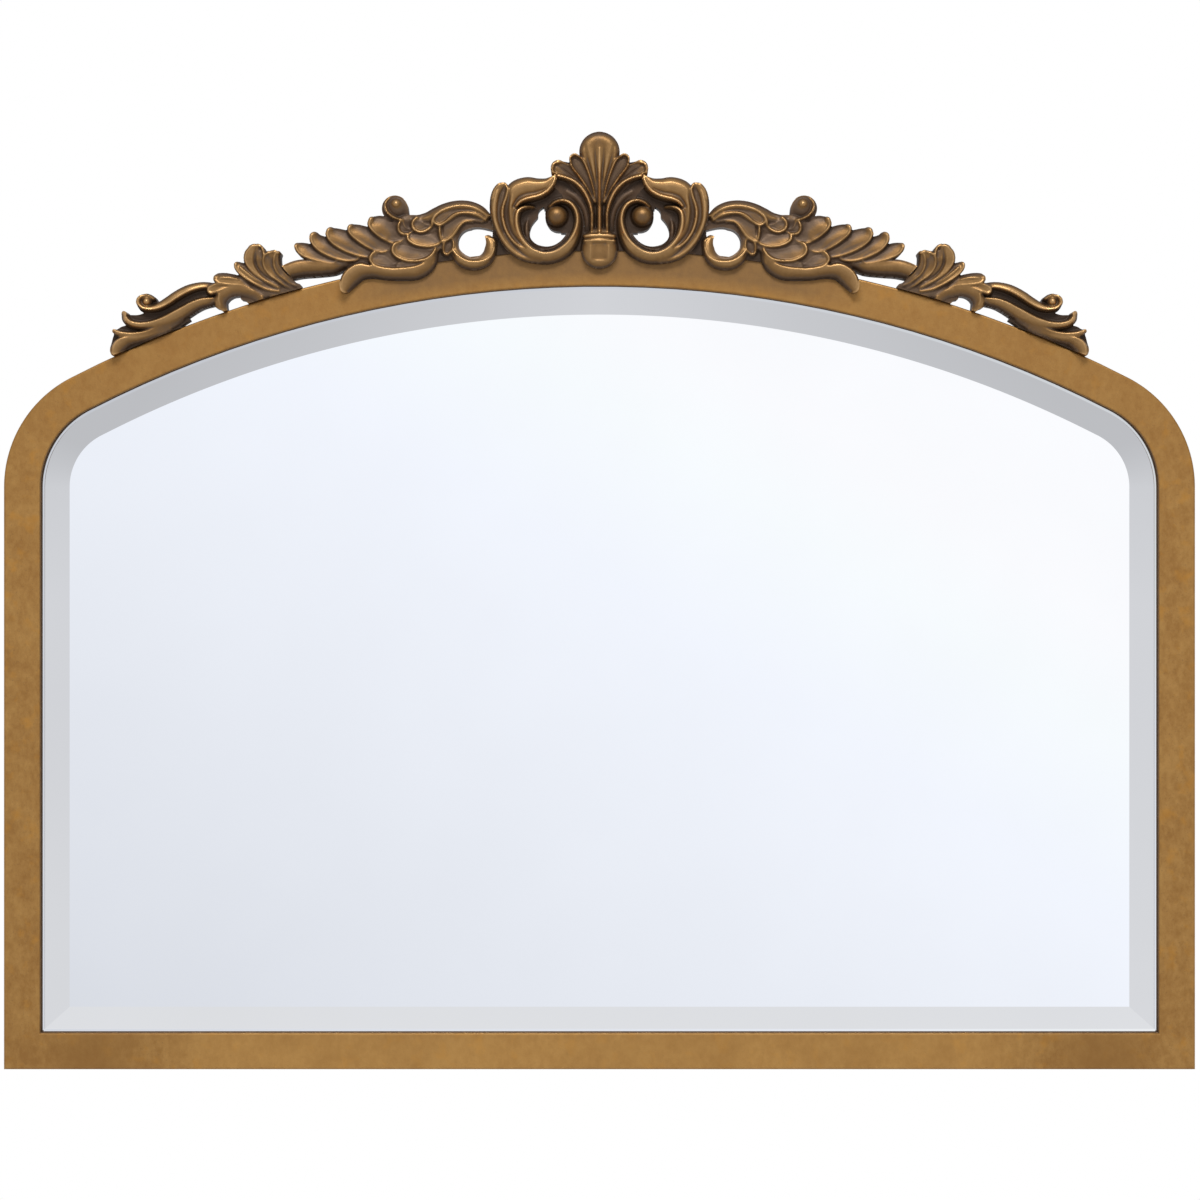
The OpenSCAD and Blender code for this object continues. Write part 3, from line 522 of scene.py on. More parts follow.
def palmette(grain, relief):
    """The centre of the crest: a fan of blades over a collar and a bud, carved as its right half"""
    c = Carving((-39.2, 611), (39.2, 719), grain, relief, mirrored=True)
    c.ground([[12, 656, 5, 0.08], [11, 648, 5.5, 0.08], [12, 642, 5, 0.08], [14, 634, 5, 0.08],
              [15.6, 626, 4.6, 0.08], [17, 621.6, 3.6, 0.06]], over=1.2)
    c.ground([[0, 634, 11.5, 0.12], [0, 650, 11, 0.12], [0, 664, 10, 0.14], [0, 676, 12, 0.2]])
    c.ground([[9, 642, 4, 0.1], [12, 655, 5.5, 0.1], [18, 667, 7, 0.12], [27, 674.5, 7.5, 0.14],
              [35, 677, 5.5, 0.16]])
    c.ground([[6, 668, 6, 0.2], [15, 681, 8, 0.24], [24, 688, 7, 0.28], [30, 689, 5.5, 0.3]])
    c.leaf([[0, 664, 3, 0.36], [0, 680, 8, 0.5], [0, 692, 12.5, 0.68], [0, 703, 15.5, 0.78]], 7, 0.04)
    c.groove([[0.9, 670, 0.6, 0.7], [2.1, 685, 1.3, 2.0], [3.2, 699, 1.6, 1.5], [3.7, 708, 1.1, 0.3]])
    c.groove([[2.8, 672, 1, 1.0], [6.2, 686, 1.9, 2.0], [9.4, 699, 2.2, 1.5], [11, 708, 1.2, 0.3]])
    c.groove([[6.7, 680, 1, 0.8], [11, 690, 2, 1.9], [14.4, 700, 1.8, 1.0]])
    c.rib([[0, 641, 1.7, 0.8], [0, 658, 1.7, 0.78], [0, 667, 1.1, 0.66], [0, 688, 0.9, 0.76],
           [0, 706, 0.7, 0.84]], 0.4)
    c.tone_shift([[0, 664, 1.4, 0.2], [0, 690, 1.4, 0.26], [0, 706, 1.2, 0.2]])
    c.leaf([[9, 668, 1.8, 0.4], [16, 679, 3.4, 0.52], [24, 688, 5, 0.66],
            [31.4, 690.8, 5.7, 0.8]], 0.9, 0.3)
    c.rib([[35.6, 686.5, 1.1, 0.72], [36, 690.5, 1.3, 0.88], [34.5, 693.8, 1.3, 0.86],
           [30, 694.8, 1, 0.76]])
    c.groove([[19, 682.8, 0.8, 0.8], [26, 688.5, 1.1, 1.5], [33.5, 693, 0.8, 1.0]])
    c.leaf([[3.6, 665, 1.4, 0.5], [7, 675.5, 3.0, 0.68], [11.7, 685.5, 4.5, 0.82],
            [16.6, 693.5, 5.7, 0.95], [19, 697.2, 4.2, 0.97]], 1.1, 0.5)
    c.rib([[6.3, 640, 1.4, 0.66], [5.6, 650, 1.5, 0.7], [6, 657, 1.6, 0.72], [8, 665, 1.7, 0.76],
           [12, 673, 1.8, 0.8], [18, 679.3, 1.8, 0.82], [25, 682.8, 1.7, 0.85], [31, 684.2, 1.5, 0.85],
           [33, 684.4, 1.2, 0.85]], 0.5)
    c.rib([[9.6, 644, 1.6, 0.2], [9.6, 652, 2, 0.24], [12, 661, 2.2, 0.24], [17.6, 668.6, 2.4, 0.24],
           [25, 673.2, 2, 0.2]], 1.5)
    c.rib([[0, 632.6, 12.6, 0.84], [0, 630, 13.6, 0.86], [0, 627.8, 14, 0.86]], 0.2)
    c.sink((-5.8, 620.4), (5.8, 633.4), 1.3, 2.4)
    c.rib([[0, 634.9, 1.5, 0.94], [11.6, 634.8, 1.4, 0.8]], 0.9)
    c.rib([[0, 638.7, 2.2, 0.98], [7, 638.6, 2.2, 0.96], [11, 638.2, 2, 0.86]], 0.9)
    c.dome(0, 640.2, 1.8, 0.98)
    c.tone_shift([[0, 676, 8, 0.10], [0, 690, 14, 0.10], [0, 703, 19, 0.04], [0, 714, 19, -0.22]])
    # Painted shadow on the low ground between the bud and the C-scroll
    c.tone_shift([[12, 642, 5], [14, 634, 6], [15.6, 626, 6], [17, 621.6, 5]], -0.2)
    c.tone_shift([[26, 692, 6, -0.12], [31, 693, 5, -0.06]])
    return c


def c_scroll(grain, relief):
    """The right C-scroll, with its cap, its finger and the ball inside"""
    c = Carving((9, 613), (87, 688), grain, relief)
    c.ground([[33, 668, 5], [38, 671, 6], [43, 668, 6]], share=0.14)
    c.ground([[35.5, 666.5, 4.5], [44, 666, 7], [52, 667, 7], [62, 664, 7], [68, 653, 7], [66, 641, 7],
              [59, 631, 6]], share=0.14)
    c.ground(SCROLL_BAND, share=0.1)
    c.ground([[29, 653, 10.5], [31, 653, 10.5]], share=0.08)
    c.ground([[49, 661, 4], [51.5, 655, 5], [55.6, 648, 6], [57, 640, 6]], share=0.1)
    c.band(SCROLL_OUTER, [(-1, 0.28), (-0.8, 0.5), (-0.4, 0.76), (0.1, 0.93), (0.6, 1.0), (1, 1.02)])
    c.band(SCROLL_FINGER, [(-1, 0.62), (-0.6, 0.72), (-0.1, 0.86), (0.4, 1.0), (0.75, 0.86), (1, 0.45)])
    c.band(SCROLL_CAP, [(-1, 0.8), (-0.7, 0.84), (-0.3, 0.9), (0.1, 1), (0.5, 0.98), (0.8, 0.8),
                        (1, 0.5)])
    c.groove([[69.5, 676, 1, 0.4], [69.2, 669, 2, 1.8], [70.5, 660, 2.6, 2.6], [70, 650, 2.8, 2.8],
              [67.3, 641, 2.6, 2.6], [62.5, 634.4, 2, 2.0], [56.5, 629, 1.3, 0.8]])
    c.groove([[73.6, 675, 1.2, 0.8], [76, 669, 1.8, 1.6], [77.6, 659, 1.7, 1.5], [76.8, 649.5, 1.4, 1.2],
              [73, 641, 1.1, 0.8]])
    c.groove([[41, 674.5, 1.6, 0.5], [48, 672, 2.2, 0.9], [56, 670.6, 2.4, 1.1], [62, 667.5, 2.2, 1.3],
              [65.6, 661, 1.8, 1.5]])
    c.rib([[71.6, 677.4, 1.2, 0.74], [70.2, 674, 1.5, 0.82], [71.3, 668.5, 1.5, 0.84],
           [73.2, 663, 1.6, 0.84], [74.2, 657, 1.7, 0.84], [73.6, 650, 1.7, 0.82],
           [70.9, 641.7, 1.7, 0.8], [66, 634.4, 1.6, 0.78], [60, 629, 1.4, 0.74]], 0.8)
    c.rib([[72.5, 678.2, 1.2, 0.74], [76.5, 677.6, 1.3, 0.78], [80.3, 673.5, 1.3, 0.78],
           [82.4, 666.5, 1.2, 0.76]], 0.6)
    c.rib([[33.6, 684.2, 1.2, 0.84], [34.8, 680, 1.7, 0.92], [37.4, 675.6, 1.9, 0.95],
           [40.8, 672.2, 2, 0.95], [45.2, 669.6, 2.1, 0.95], [50.5, 668, 2.1, 0.95],
           [56, 666.7, 2.1, 0.95], [60.6, 664.6, 1.9, 0.93], [63.6, 661.4, 1.5, 0.9]], 0.8)
    c.rib([[50.5, 660.9, 1.0, 0.5], [55.5, 661, 1.5, 0.68], [60, 659.4, 1.9, 0.82],
           [62.6, 656.2, 2.2, 0.92], [63.4, 651, 2.3, 0.95], [62.8, 645, 2.3, 0.95],
           [60.6, 638.7, 2.2, 0.95], [56.6, 632.8, 2.1, 0.95], [51.5, 628.2, 2, 0.95],
           [46, 625.7, 2, 0.95], [41, 624.9, 2, 0.95], [35, 625.9, 2, 0.95], [28.8, 629.3, 2, 0.95],
           [22.6, 635.3, 2, 0.95], [18.5, 642.7, 2, 0.95], [16.9, 650, 2, 0.95], [17.9, 657.3, 2, 0.95],
           [21, 662.4, 1.9, 0.94], [25.5, 665.2, 1.8, 0.92], [30, 665.6, 1.6, 0.88],
           [34.5, 664.2, 1.3, 0.8], [38.5, 661, 1.0, 0.64]], 0.8)
    c.rib([[54.4, 653, 0.7, 0.14], [55.8, 647.4, 1.5, 0.26], [55.8, 641, 2, 0.32], [54.6, 636, 2, 0.32],
           [51.6, 631.8, 1.8, 0.32], [47.4, 629.4, 1.5, 0.32], [42, 628.6, 1.4, 0.32],
           [36.6, 629.4, 1.4, 0.32], [31.6, 631.9, 1.4, 0.3], [27.4, 635.6, 1.3, 0.26],
           [24.4, 639.6, 1, 0.2]], 1.6)
    c.dome(32.8, 654.2, 8.6, 0.84)
    c.tone_shift([[32, 653, 11], [33.4, 652.6, 11]], -0.42)
    c.tone_shift([[55, 652, 3, -0.1], [56, 642, 3, -0.1], [52, 632.6, 3, -0.08]])
    # Painted highlight in the hollow of the finger
    c.tone_shift([[75, 674, 2, 0.06], [76.6, 668, 3, 0.12], [77.6, 659, 3, 0.12], [76.8, 649.5, 2.4, 0.08]])
    c.tone_shift([[52, 673, 5, 0.06], [60, 671, 5, 0.08], [66, 664, 4, 0.04]])
    c.cut([[42.6, 661.6], [45.4, 659.6], [47, 657], [47.3, 653.6], [49.6, 650.8], [52.2, 647],
           [53.6, 641.6], [52.2, 636.4], [47.6, 632.6], [40.5, 631.1], [34.1, 632.4], [29, 636],
           [25.6, 640.9], [28.8, 641.4], [33.4, 642.2], [37.9, 645.2], [40.9, 650.2], [42, 656]])
    return c


def inner_wing(grain, relief):
    """The right inner wing: hook with its eye, small lobes, acanthus lobes, volute, tail and stem"""
    c = Carving((64, 590), (252, 674), grain, relief)
    c.ground([[68, 622.6, 3], [72, 627, 3.4], [76, 630, 4]], share=0.08, over=1.0)
    c.ground([[79, 641, 3], [77, 634, 5], [75, 627, 5.6], [78, 620, 5.6]], share=0.1, over=1.0)
    c.ground([[84, 652, 3.4, 0.16], [92, 653, 6, 0.18], [102, 652.5, 8, 0.2], [112, 648, 10, 0.22],
              [118, 640, 9, 0.22], [116, 632, 6, 0.2], [112, 625, 4.6, 0.2]], over=1.2)
    c.ground([[112, 655, 6, 0.3], [124, 651, 7, 0.36], [136, 647.4, 7.6, 0.38], [148, 646.8, 7.6, 0.38],
              [158, 642, 7, 0.38]])
    c.ground([[121, 638, 7, 0.3], [127, 633, 7, 0.4], [140, 629, 11, 0.42], [160, 628, 14, 0.4],
              [178, 629, 11, 0.36], [194, 625, 9, 0.3], [208, 621, 8, 0.3], [222, 616, 6, 0.3]])
    c.ground([[174, 619, 3], [184, 619.6, 3], [194, 618, 3.4]], share=0.24)
    c.ground([[113, 625, 5, 0.14], [121, 623, 5, 0.12], [124, 631, 3, 0.12]], over=1.2)
    c.ground([[122, 643, 5, 0.3], [130, 643, 5, 0.34], [140, 643, 4, 0.38]])
    c.ground([[130, 620, 4, 0.46], [140, 617, 5, 0.5], [152, 615, 4, 0.52]])
    # Hook and the wall round the eye
    c.band([[87.6, 637.6, 1.6, 0.4], [85.2, 636.6, 3, 0.48], [83.6, 633.6, 4, 0.56],
            [83.4, 630, 4.3, 0.6], [84.4, 625, 4.7, 0.62], [87.4, 620.6, 5, 0.64], [92, 618.2, 5, 0.66],
            [97, 617.5, 4.9, 0.68], [102, 618.5, 4.9, 0.68], [106.6, 621.4, 4.7, 0.66],
            [109.8, 626, 3.9, 0.6], [111, 631, 3.3, 0.5], [110.8, 637, 3, 0.42], [108.6, 642, 2.6, 0.36]],
           [(-1, 0.35), (-0.8, 0.6), (-0.4, 0.9), (-0.05, 1.0), (0.3, 0.92), (0.7, 0.78), (1, 0.7)])
    c.rib([[84, 638, 1.0, 0.4], [80.9, 635.6, 1.2, 0.56], [80.4, 631, 1.4, 0.64], [81.6, 626, 1.5, 0.68],
           [84.2, 622, 1.5, 0.7], [88.4, 619.7, 1.6, 0.72], [94, 618.7, 1.6, 0.74], [100, 619, 1.6, 0.74],
           [105, 621, 1.5, 0.74], [109, 624, 1.4, 0.72], [112, 627.4, 1.2, 0.66]], 1.2)
    # Long leaf over the eye, with its dark outer slope
    c.band([[84.6, 654.6, 1.6, 0.5], [91, 658.6, 3.4, 0.6], [98, 661.2, 4, 0.64], [105, 662, 4.2, 0.66],
            [112, 661.4, 4.2, 0.66], [119, 659.2, 4.4, 0.66], [126, 655.8, 4.4, 0.64],
            [132, 653, 4, 0.56], [140, 651.6, 3.2, 0.46], [148, 651.6, 2.8, 0.42]],
           [(-1, 0.7), (-0.5, 0.9), (-0.1, 1.0), (0.15, 0.9), (0.6, 0.62), (1, 0.35)], 0.8)
    c.ground([[80, 646, 3, 0.2], [86, 648, 3.4, 0.22], [92, 649.6, 4, 0.24], [98, 649.2, 4, 0.26],
              [104, 646.4, 4, 0.28], [108.4, 642, 3.6, 0.28], [110.6, 636, 3.4, 0.28],
              [110.6, 630, 3.2, 0.28]])
    c.scoop([[121, 634.4, 1.6, 0.6], [118, 635.4, 3, 0.62], [113.6, 638.4, 5, 0.62],
             [110.4, 642.6, 6.4, 0.6], [107.2, 647, 6.6, 0.56], [103, 650, 4.6, 0.52],
             [97, 650.8, 3, 0.46], [90, 650, 2.2, 0.42]][::-1], 1.4, 0.2, 0.86)
    c.leaf([[96, 657.2, 2.6, 0.56], [103, 658.4, 3.4, 0.62], [110, 657.4, 4.2, 0.68],
            [117, 654.4, 5.4, 0.72], [122.4, 651.4, 5.8, 0.74]], 1.4, 0.24)
    c.rib([[85.6, 652.6, 1, 0.5], [90, 657, 1.4, 0.62], [96, 660.2, 1.5, 0.7], [102, 661.5, 1.5, 0.74],
           [108, 661.6, 1.5, 0.76], [114, 660.5, 1.5, 0.77], [119.2, 658.6, 1.5, 0.78],
           [123.4, 656, 1.5, 0.78], [126.7, 652.6, 1.5, 0.78], [128.2, 649.4, 1.3, 0.74],
           [127.8, 647, 1, 0.66]], 1)
    c.rib([[87, 651, 1.4, 0.5], [92, 654.2, 2, 0.58], [98, 656, 2, 0.64], [104, 656.4, 1.8, 0.68],
           [109.4, 655.6, 1.5, 0.7], [113.4, 653.4, 1.4, 0.7], [116.8, 650.4, 1.3, 0.7],
           [119.8, 648.6, 1.2, 0.68], [122.8, 647.6, 1, 0.64]], 1.2)
    c.rib([[122.2, 647.6, 1.2, 0.62], [122.2, 642, 1.5, 0.66], [121.4, 636.4, 1.3, 0.6]], 0.6)
    c.rib([[97, 649.6, 1.2, 0.4], [103.4, 649.4, 1.4, 0.48], [107, 646, 1.5, 0.54],
           [110, 641.4, 1.5, 0.56], [113, 637.6, 1.4, 0.58], [116.4, 635.3, 1.3, 0.6],
           [119.6, 633.8, 1.2, 0.6]], 1)
    c.leaf([[114.4, 634.6, 3.4, 0.56], [115.6, 631, 4.8, 0.62], [117, 627.2, 3.6, 0.58]], 1.3, 0.4)
    # Fan of small lobes
    c.scoop([[140, 614.8, 2, 0.54], [148, 613.4, 3, 0.58], [155, 612.8, 4, 0.6], [160, 612.9, 4.4, 0.64],
             [166, 614, 6, 0.68], [171, 615.8, 6.2, 0.72], [174.4, 618.6, 5, 0.74], [175.2, 622, 4, 0.74],
             [173, 625.4, 3, 0.68], [168.6, 627.4, 2, 0.5]], 1.7, 0.24, 0.62)
    c.scoop([[126, 628, 2, 0.56], [129, 624.2, 4, 0.6], [134, 621.2, 5.6, 0.64],
             [139.4, 619.8, 6.6, 0.68], [145, 619.6, 7, 0.7], [150, 620.6, 7, 0.74],
             [154.8, 622.9, 6.4, 0.76], [157.6, 626, 5, 0.78], [158, 629.4, 4, 0.78],
             [156.2, 632.4, 3, 0.7], [152, 634, 2, 0.5]], 1.7, 0.24, 0.62)
    c.scoop([[123, 633, 2.6, 0.56], [126.6, 631.4, 4.4, 0.6], [131, 630.8, 5.4, 0.64],
             [136, 631.1, 5.8, 0.68], [141, 632.4, 5.8, 0.72], [144.8, 634.6, 4.6, 0.74],
             [146.5, 637.4, 3.4, 0.72], [145.4, 640, 2.4, 0.54]], 1.7, 0.24, 0.6)
    c.scoop([[128.4, 646.6, 2, 0.56], [131.4, 643.8, 4, 0.64], [135.4, 642, 5.4, 0.72],
             [139.6, 642.6, 6, 0.76], [142.4, 645.4, 5.4, 0.76], [142.6, 649, 4, 0.72],
             [140.4, 652, 2.6, 0.64]], 1.8, 0.3, 0.66)
    c.scoop([[142.6, 643, 2, 0.52], [146, 640.8, 3.4, 0.6], [150, 640.4, 4.4, 0.7],
             [153, 642.6, 4.6, 0.74], [153.6, 646.4, 4, 0.72], [152, 650, 2.6, 0.62]], 1.6, 0.4, 0.6)
    c.tone_shift([[134, 650, 3, -0.06], [147, 648, 4.4, -0.14]])
    # Five acanthus lobes, laid like tiles
    c.scoop([[205, 618, 5, 0.5], [210, 618.8, 6, 0.54], [217, 620.2, 6.4, 0.62], [223.4, 622.2, 6.2, 0.7],
             [228.2, 624.8, 5.6, 0.78], [231, 627.8, 4.4, 0.82], [231.8, 630.2, 3, 0.82]], 1.6, 0.2, 0.52)
    c.scoop([[188, 620, 5.6, 0.5], [194, 619.9, 7, 0.54], [201, 621.3, 7.6, 0.6], [208, 624, 7.6, 0.68],
             [213.6, 627, 7, 0.76], [217.6, 630.6, 6, 0.82], [219.9, 634.4, 5, 0.84],
             [220.2, 637.6, 4, 0.84]], 1.6, 0.2, 0.52)
    c.scoop([[176, 622.6, 6, 0.5], [181, 623, 7.6, 0.54], [188, 624.8, 8.6, 0.6],
             [194.6, 627.4, 8.8, 0.68], [200.4, 630.5, 8, 0.76], [204.9, 634, 7, 0.82],
             [207.6, 638, 5.6, 0.86], [207.6, 641.4, 4, 0.86]], 1.6, 0.2, 0.52)
    c.scoop([[164, 627, 6, 0.5], [168, 626.4, 7.4, 0.54], [173.4, 628.4, 8.4, 0.6],
             [178.6, 631, 8.2, 0.68], [184, 634.5, 7.4, 0.76], [188.4, 638.2, 6.2, 0.82],
             [191.2, 641.6, 4.8, 0.86], [191.2, 644.2, 3.6, 0.86]], 1.6, 0.2, 0.52)
    c.scoop([[153, 634.4, 5, 0.52], [158, 633.4, 7, 0.58], [162.4, 635.2, 8.4, 0.64],
             [167, 637.6, 8.8, 0.7], [171.2, 640.9, 8.4, 0.78], [174.4, 644.2, 7, 0.84],
             [175.8, 647.6, 5, 0.86], [175, 650.6, 3.4, 0.84]], 1.7, 0.22, 0.52)
    # Smooth tail over the frame's face, and the stem to the outer wing
    c.band([[125.4, 625.4, 1.8, 0.5], [128, 619.6, 3.8, 0.58], [132.6, 614.4, 4.8, 0.64],
            [140, 610.8, 5.4, 0.68], [150, 609.7, 5, 0.7], [162, 609.8, 4.8, 0.7], [174, 611.5, 5.2, 0.7],
            [182.6, 610.8, 5.9, 0.74], [188.6, 607.4, 6.6, 0.78], [192.8, 602.4, 5.6, 0.8],
            [194.4, 599, 4, 0.78]],
           [(-1, 0.2), (-0.8, 0.42), (-0.45, 0.68), (0.05, 0.88), (0.45, 0.98), (0.8, 1.0), (1, 0.9)])
    c.rib([[125.4, 629, 1.1, 0.6], [127.6, 625, 1.3, 0.66], [131, 621.8, 1.4, 0.7],
           [135.4, 620, 1.4, 0.72], [141, 619.2, 1.3, 0.72]], 0.8)
    c.rib([[178, 616.6, 1, 0.66], [182.6, 616.9, 1.3, 0.74], [187.6, 615.5, 1.4, 0.78],
           [191.8, 612.6, 1.5, 0.8], [195, 608.8, 1.5, 0.82], [196.7, 604.8, 1.5, 0.82],
           [196.9, 601, 1.2, 0.8]], 1.2)
    c.band([[196, 616.4, 3.4, 0.36], [204, 614.6, 5, 0.48], [216, 614.4, 6.2, 0.56], [228, 614, 6.7, 0.6],
            [238, 611.4, 6.2, 0.58], [246, 607, 5, 0.5]],
           [(-1, 0.12), (-0.7, 0.4), (-0.3, 0.78), (0.2, 1.0), (0.7, 0.95), (1, 0.7)])
    # Top volute
    c.ground([[151, 655, 5, 0.26], [156.3, 659.6, 9.7, 0.3], [156.4, 659.7, 9.7, 0.3]])
    c.rib([[151.4, 651, 0.9, 0.6], [156, 652.2, 1.2, 0.74], [160.2, 654.6, 1.3, 0.78],
           [162.9, 658, 1.3, 0.76], [164, 661.6, 1.2, 0.66], [163.4, 665, 1, 0.5],
           [160.6, 668, 0.9, 0.4]], 1.0)
    c.dome(155.9, 661, 8.2, 0.5, 0.8)
    c.dome(155.8, 663.2, 4.6, 0.68, 1.2)
    # Painted shade in the hollow of the volute
    c.tone_shift([[152, 656, 8], [156.6, 659, 9]], -0.14)
    # The eye of the hook, and the opening under the stem
    # Painted shadow on the low ground between the C-scroll and the hook
    c.tone_shift([[79, 641, 4], [77, 634, 6], [75, 627, 6], [78, 620, 6]], -0.2)
    c.tone_shift([[84, 648, 3], [94, 650, 4], [104, 646.4, 3]], -0.1)
    c.pierce([[97.6, 633.9, 10.7], [97.7, 634, 10.7]])
    c.pierce([[95, 638.6, 7], [90.5, 640.6, 3.2], [86, 640.9, 1.4], [82, 640.3, 0.4]])
    c.pierce([[198.6, 606, 0.4], [203, 605.9, 1.6], [210, 605.4, 2.9], [217, 604.8, 3.3],
              [223, 604.4, 2.5], [229, 603.6, 0.7]])
    return c


def outer_wing(grain, relief):
    """The right outer wing: curls, drooping leaf and a tail of three bands"""
    c = Carving((228, 542), (377, 636), grain, relief)
    c.ground([[231, 600, 2.6, 0.2], [240, 600, 5, 0.26], [250, 600, 7, 0.3], [260, 600, 7.4, 0.32],
              [268, 602, 6.4, 0.32], [277, 603, 5, 0.34]], over=1.0)
    c.ground([[248, 596, 4, 0.16], [258, 594.6, 5, 0.2], [266, 592, 5, 0.24],
              [272, 592, 3, 0.24]], over=1.4)
    c.ground([[250, 618, 3, 0.5], [250.4, 622, 2.8, 0.62], [250.6, 624.4, 2, 0.66]])
    c.ground([[318, 567.6, 2], [330, 564, 3], [344, 558.6, 3], [356, 554, 3.4],
              [366, 549.4, 4]], share=0.1)
    c.ground([[246, 612, 3, 0.3], [252, 614, 5, 0.34], [262, 614, 7, 0.4], [270, 609, 5, 0.4],
              [273.6, 612, 3.4, 0.4]])
    c.ground([[295, 596, 5, 0.12], [306, 594, 6, 0.12], [318, 588, 7.5, 0.12], [330, 580, 8, 0.12],
              [342, 577.6, 5, 0.14], [352, 575.6, 3.2, 0.18], [360, 575.6, 2.8, 0.2]])
    c.ground([[346.2, 587, 7.4], [346.4, 587, 7.4]], share=0.12)
    c.ground([[318, 573.6, 4, 0.1], [326, 569, 6, 0.1], [340, 565, 7, 0.12], [352, 562, 8, 0.16],
              [364, 563.4, 6.4, 0.2], [369, 556, 5, 0.16], [370.6, 550, 3.6, 0.12]])
    # Curls, laid like tiles from the right
    c.band([[261, 592, 4, 0.4], [267, 595.6, 4.4, 0.5], [275, 597.2, 4.4, 0.56], [282, 596.9, 4.8, 0.62],
            [287.4, 594, 5, 0.64], [290.4, 589.6, 4.9, 0.6], [289.6, 585, 3.9, 0.54],
            [287.4, 580.4, 2.6, 0.46]],
           [(-1, 0.5), (-0.6, 0.74), (-0.1, 0.9), (0.3, 1.0), (0.7, 0.92), (1, 0.6)], 0.8)
    c.leaf([[280, 601, 2, 0.6], [287, 600, 3.2, 0.68], [293, 598.8, 4.2, 0.74],
            [297, 597.2, 3.9, 0.74]], 1.5, 0.14)
    c.rib([[293.6, 597.6, 1, 0.6], [291.2, 594.6, 1.4, 0.68], [291.2, 590, 1.5, 0.66],
           [290, 586, 1.2, 0.58]], 1.4)
    c.scoop([[268, 599.4, 1.8, 0.5], [272, 600.2, 3.2, 0.56], [277, 601, 4.4, 0.64], [283, 601.3, 5, 0.7],
             [288.6, 602, 5, 0.74], [292.4, 603.4, 4.4, 0.76], [294, 605.6, 3.4, 0.76],
             [293, 608, 2.4, 0.74], [289, 609.2, 1.6, 0.7]], 1.3, 0.1, 0.74)
    c.rib([[276, 605, 1, 0.6], [282, 606.4, 1.6, 0.72], [288.6, 606.6, 1.6, 0.76],
           [292, 606, 1, 0.72]], 2)
    c.scoop([[246, 596.6, 2, 0.44], [254, 597.8, 3.4, 0.5], [260, 600.3, 4.4, 0.58],
             [265, 602.9, 5, 0.66], [270, 606, 5.4, 0.72], [274.4, 609.5, 5.2, 0.78],
             [277.2, 612.8, 4.2, 0.82], [278.2, 615.4, 3, 0.82]], 1.3, 0.2, 0.66)
    c.rib([[258, 602.4, 0.9, 0.54], [264, 605.8, 1.2, 0.64], [270, 610.4, 1.3, 0.74],
           [274.6, 614.4, 1.2, 0.78]], 0.8)
    c.scoop([[246, 599.6, 2, 0.46], [252, 602.4, 3.4, 0.54], [257, 605, 4.6, 0.6], [262, 608.4, 6, 0.66],
             [266.4, 612.4, 7.2, 0.74], [269.5, 616.8, 8.4, 0.8], [270.6, 621, 8.8, 0.86],
             [269.8, 625.4, 7.8, 0.9], [267, 629.2, 5.6, 0.92]], 1.5, 0.12, 0.72)
    c.groove([[250, 604, 0.8, 0.6], [255, 607, 1.4, 1.6], [259.8, 611.4, 1.7, 2.2],
              [262.8, 616.4, 1.8, 2.2], [263.6, 622, 1.7, 1.8], [262.6, 629, 1.1, 0.6]])
    c.rib([[257, 618, 0.8, 0.76], [256.6, 623, 1.2, 0.86], [257, 627, 1.3, 0.88],
           [258.8, 630.2, 1.2, 0.88], [261.6, 631.6, 1, 0.86]], 1.2)
    c.scoop([[236, 599, 1.6, 0.34], [241, 601.2, 2.8, 0.48], [246, 604.6, 3.8, 0.6],
             [251, 608.2, 4.4, 0.68], [254.5, 612, 4.6, 0.74], [256.5, 616, 4.6, 0.8],
             [257, 619.8, 4.4, 0.84], [256.2, 623, 3.6, 0.86], [254, 625.2, 2.6, 0.86]], 1.3, 0.26, 0.72)
    c.rib([[248, 607.6, 0.7, 0.56], [252, 613, 0.9, 0.62], [252.8, 618, 0.9, 0.66],
           [251.6, 623, 0.8, 0.68]], 0.8)
    c.scoop([[231, 600.6, 1.2, 0.3], [236, 602.4, 2.2, 0.44], [241, 605.8, 3, 0.6],
             [245, 609.2, 3.3, 0.66], [247.6, 613, 3.2, 0.74], [248.8, 617, 3, 0.78],
             [248.8, 621, 2.8, 0.8], [247.8, 624.4, 2.4, 0.82], [246, 625.8, 1.8, 0.8]], 1.2, 0.3, 0.7)
    c.rib([[245.4, 624.8, 0.9, 0.76], [248.2, 626.6, 1.1, 0.84], [251.6, 626, 1.1, 0.84],
           [254.6, 624.4, 1, 0.82]], 0.8)
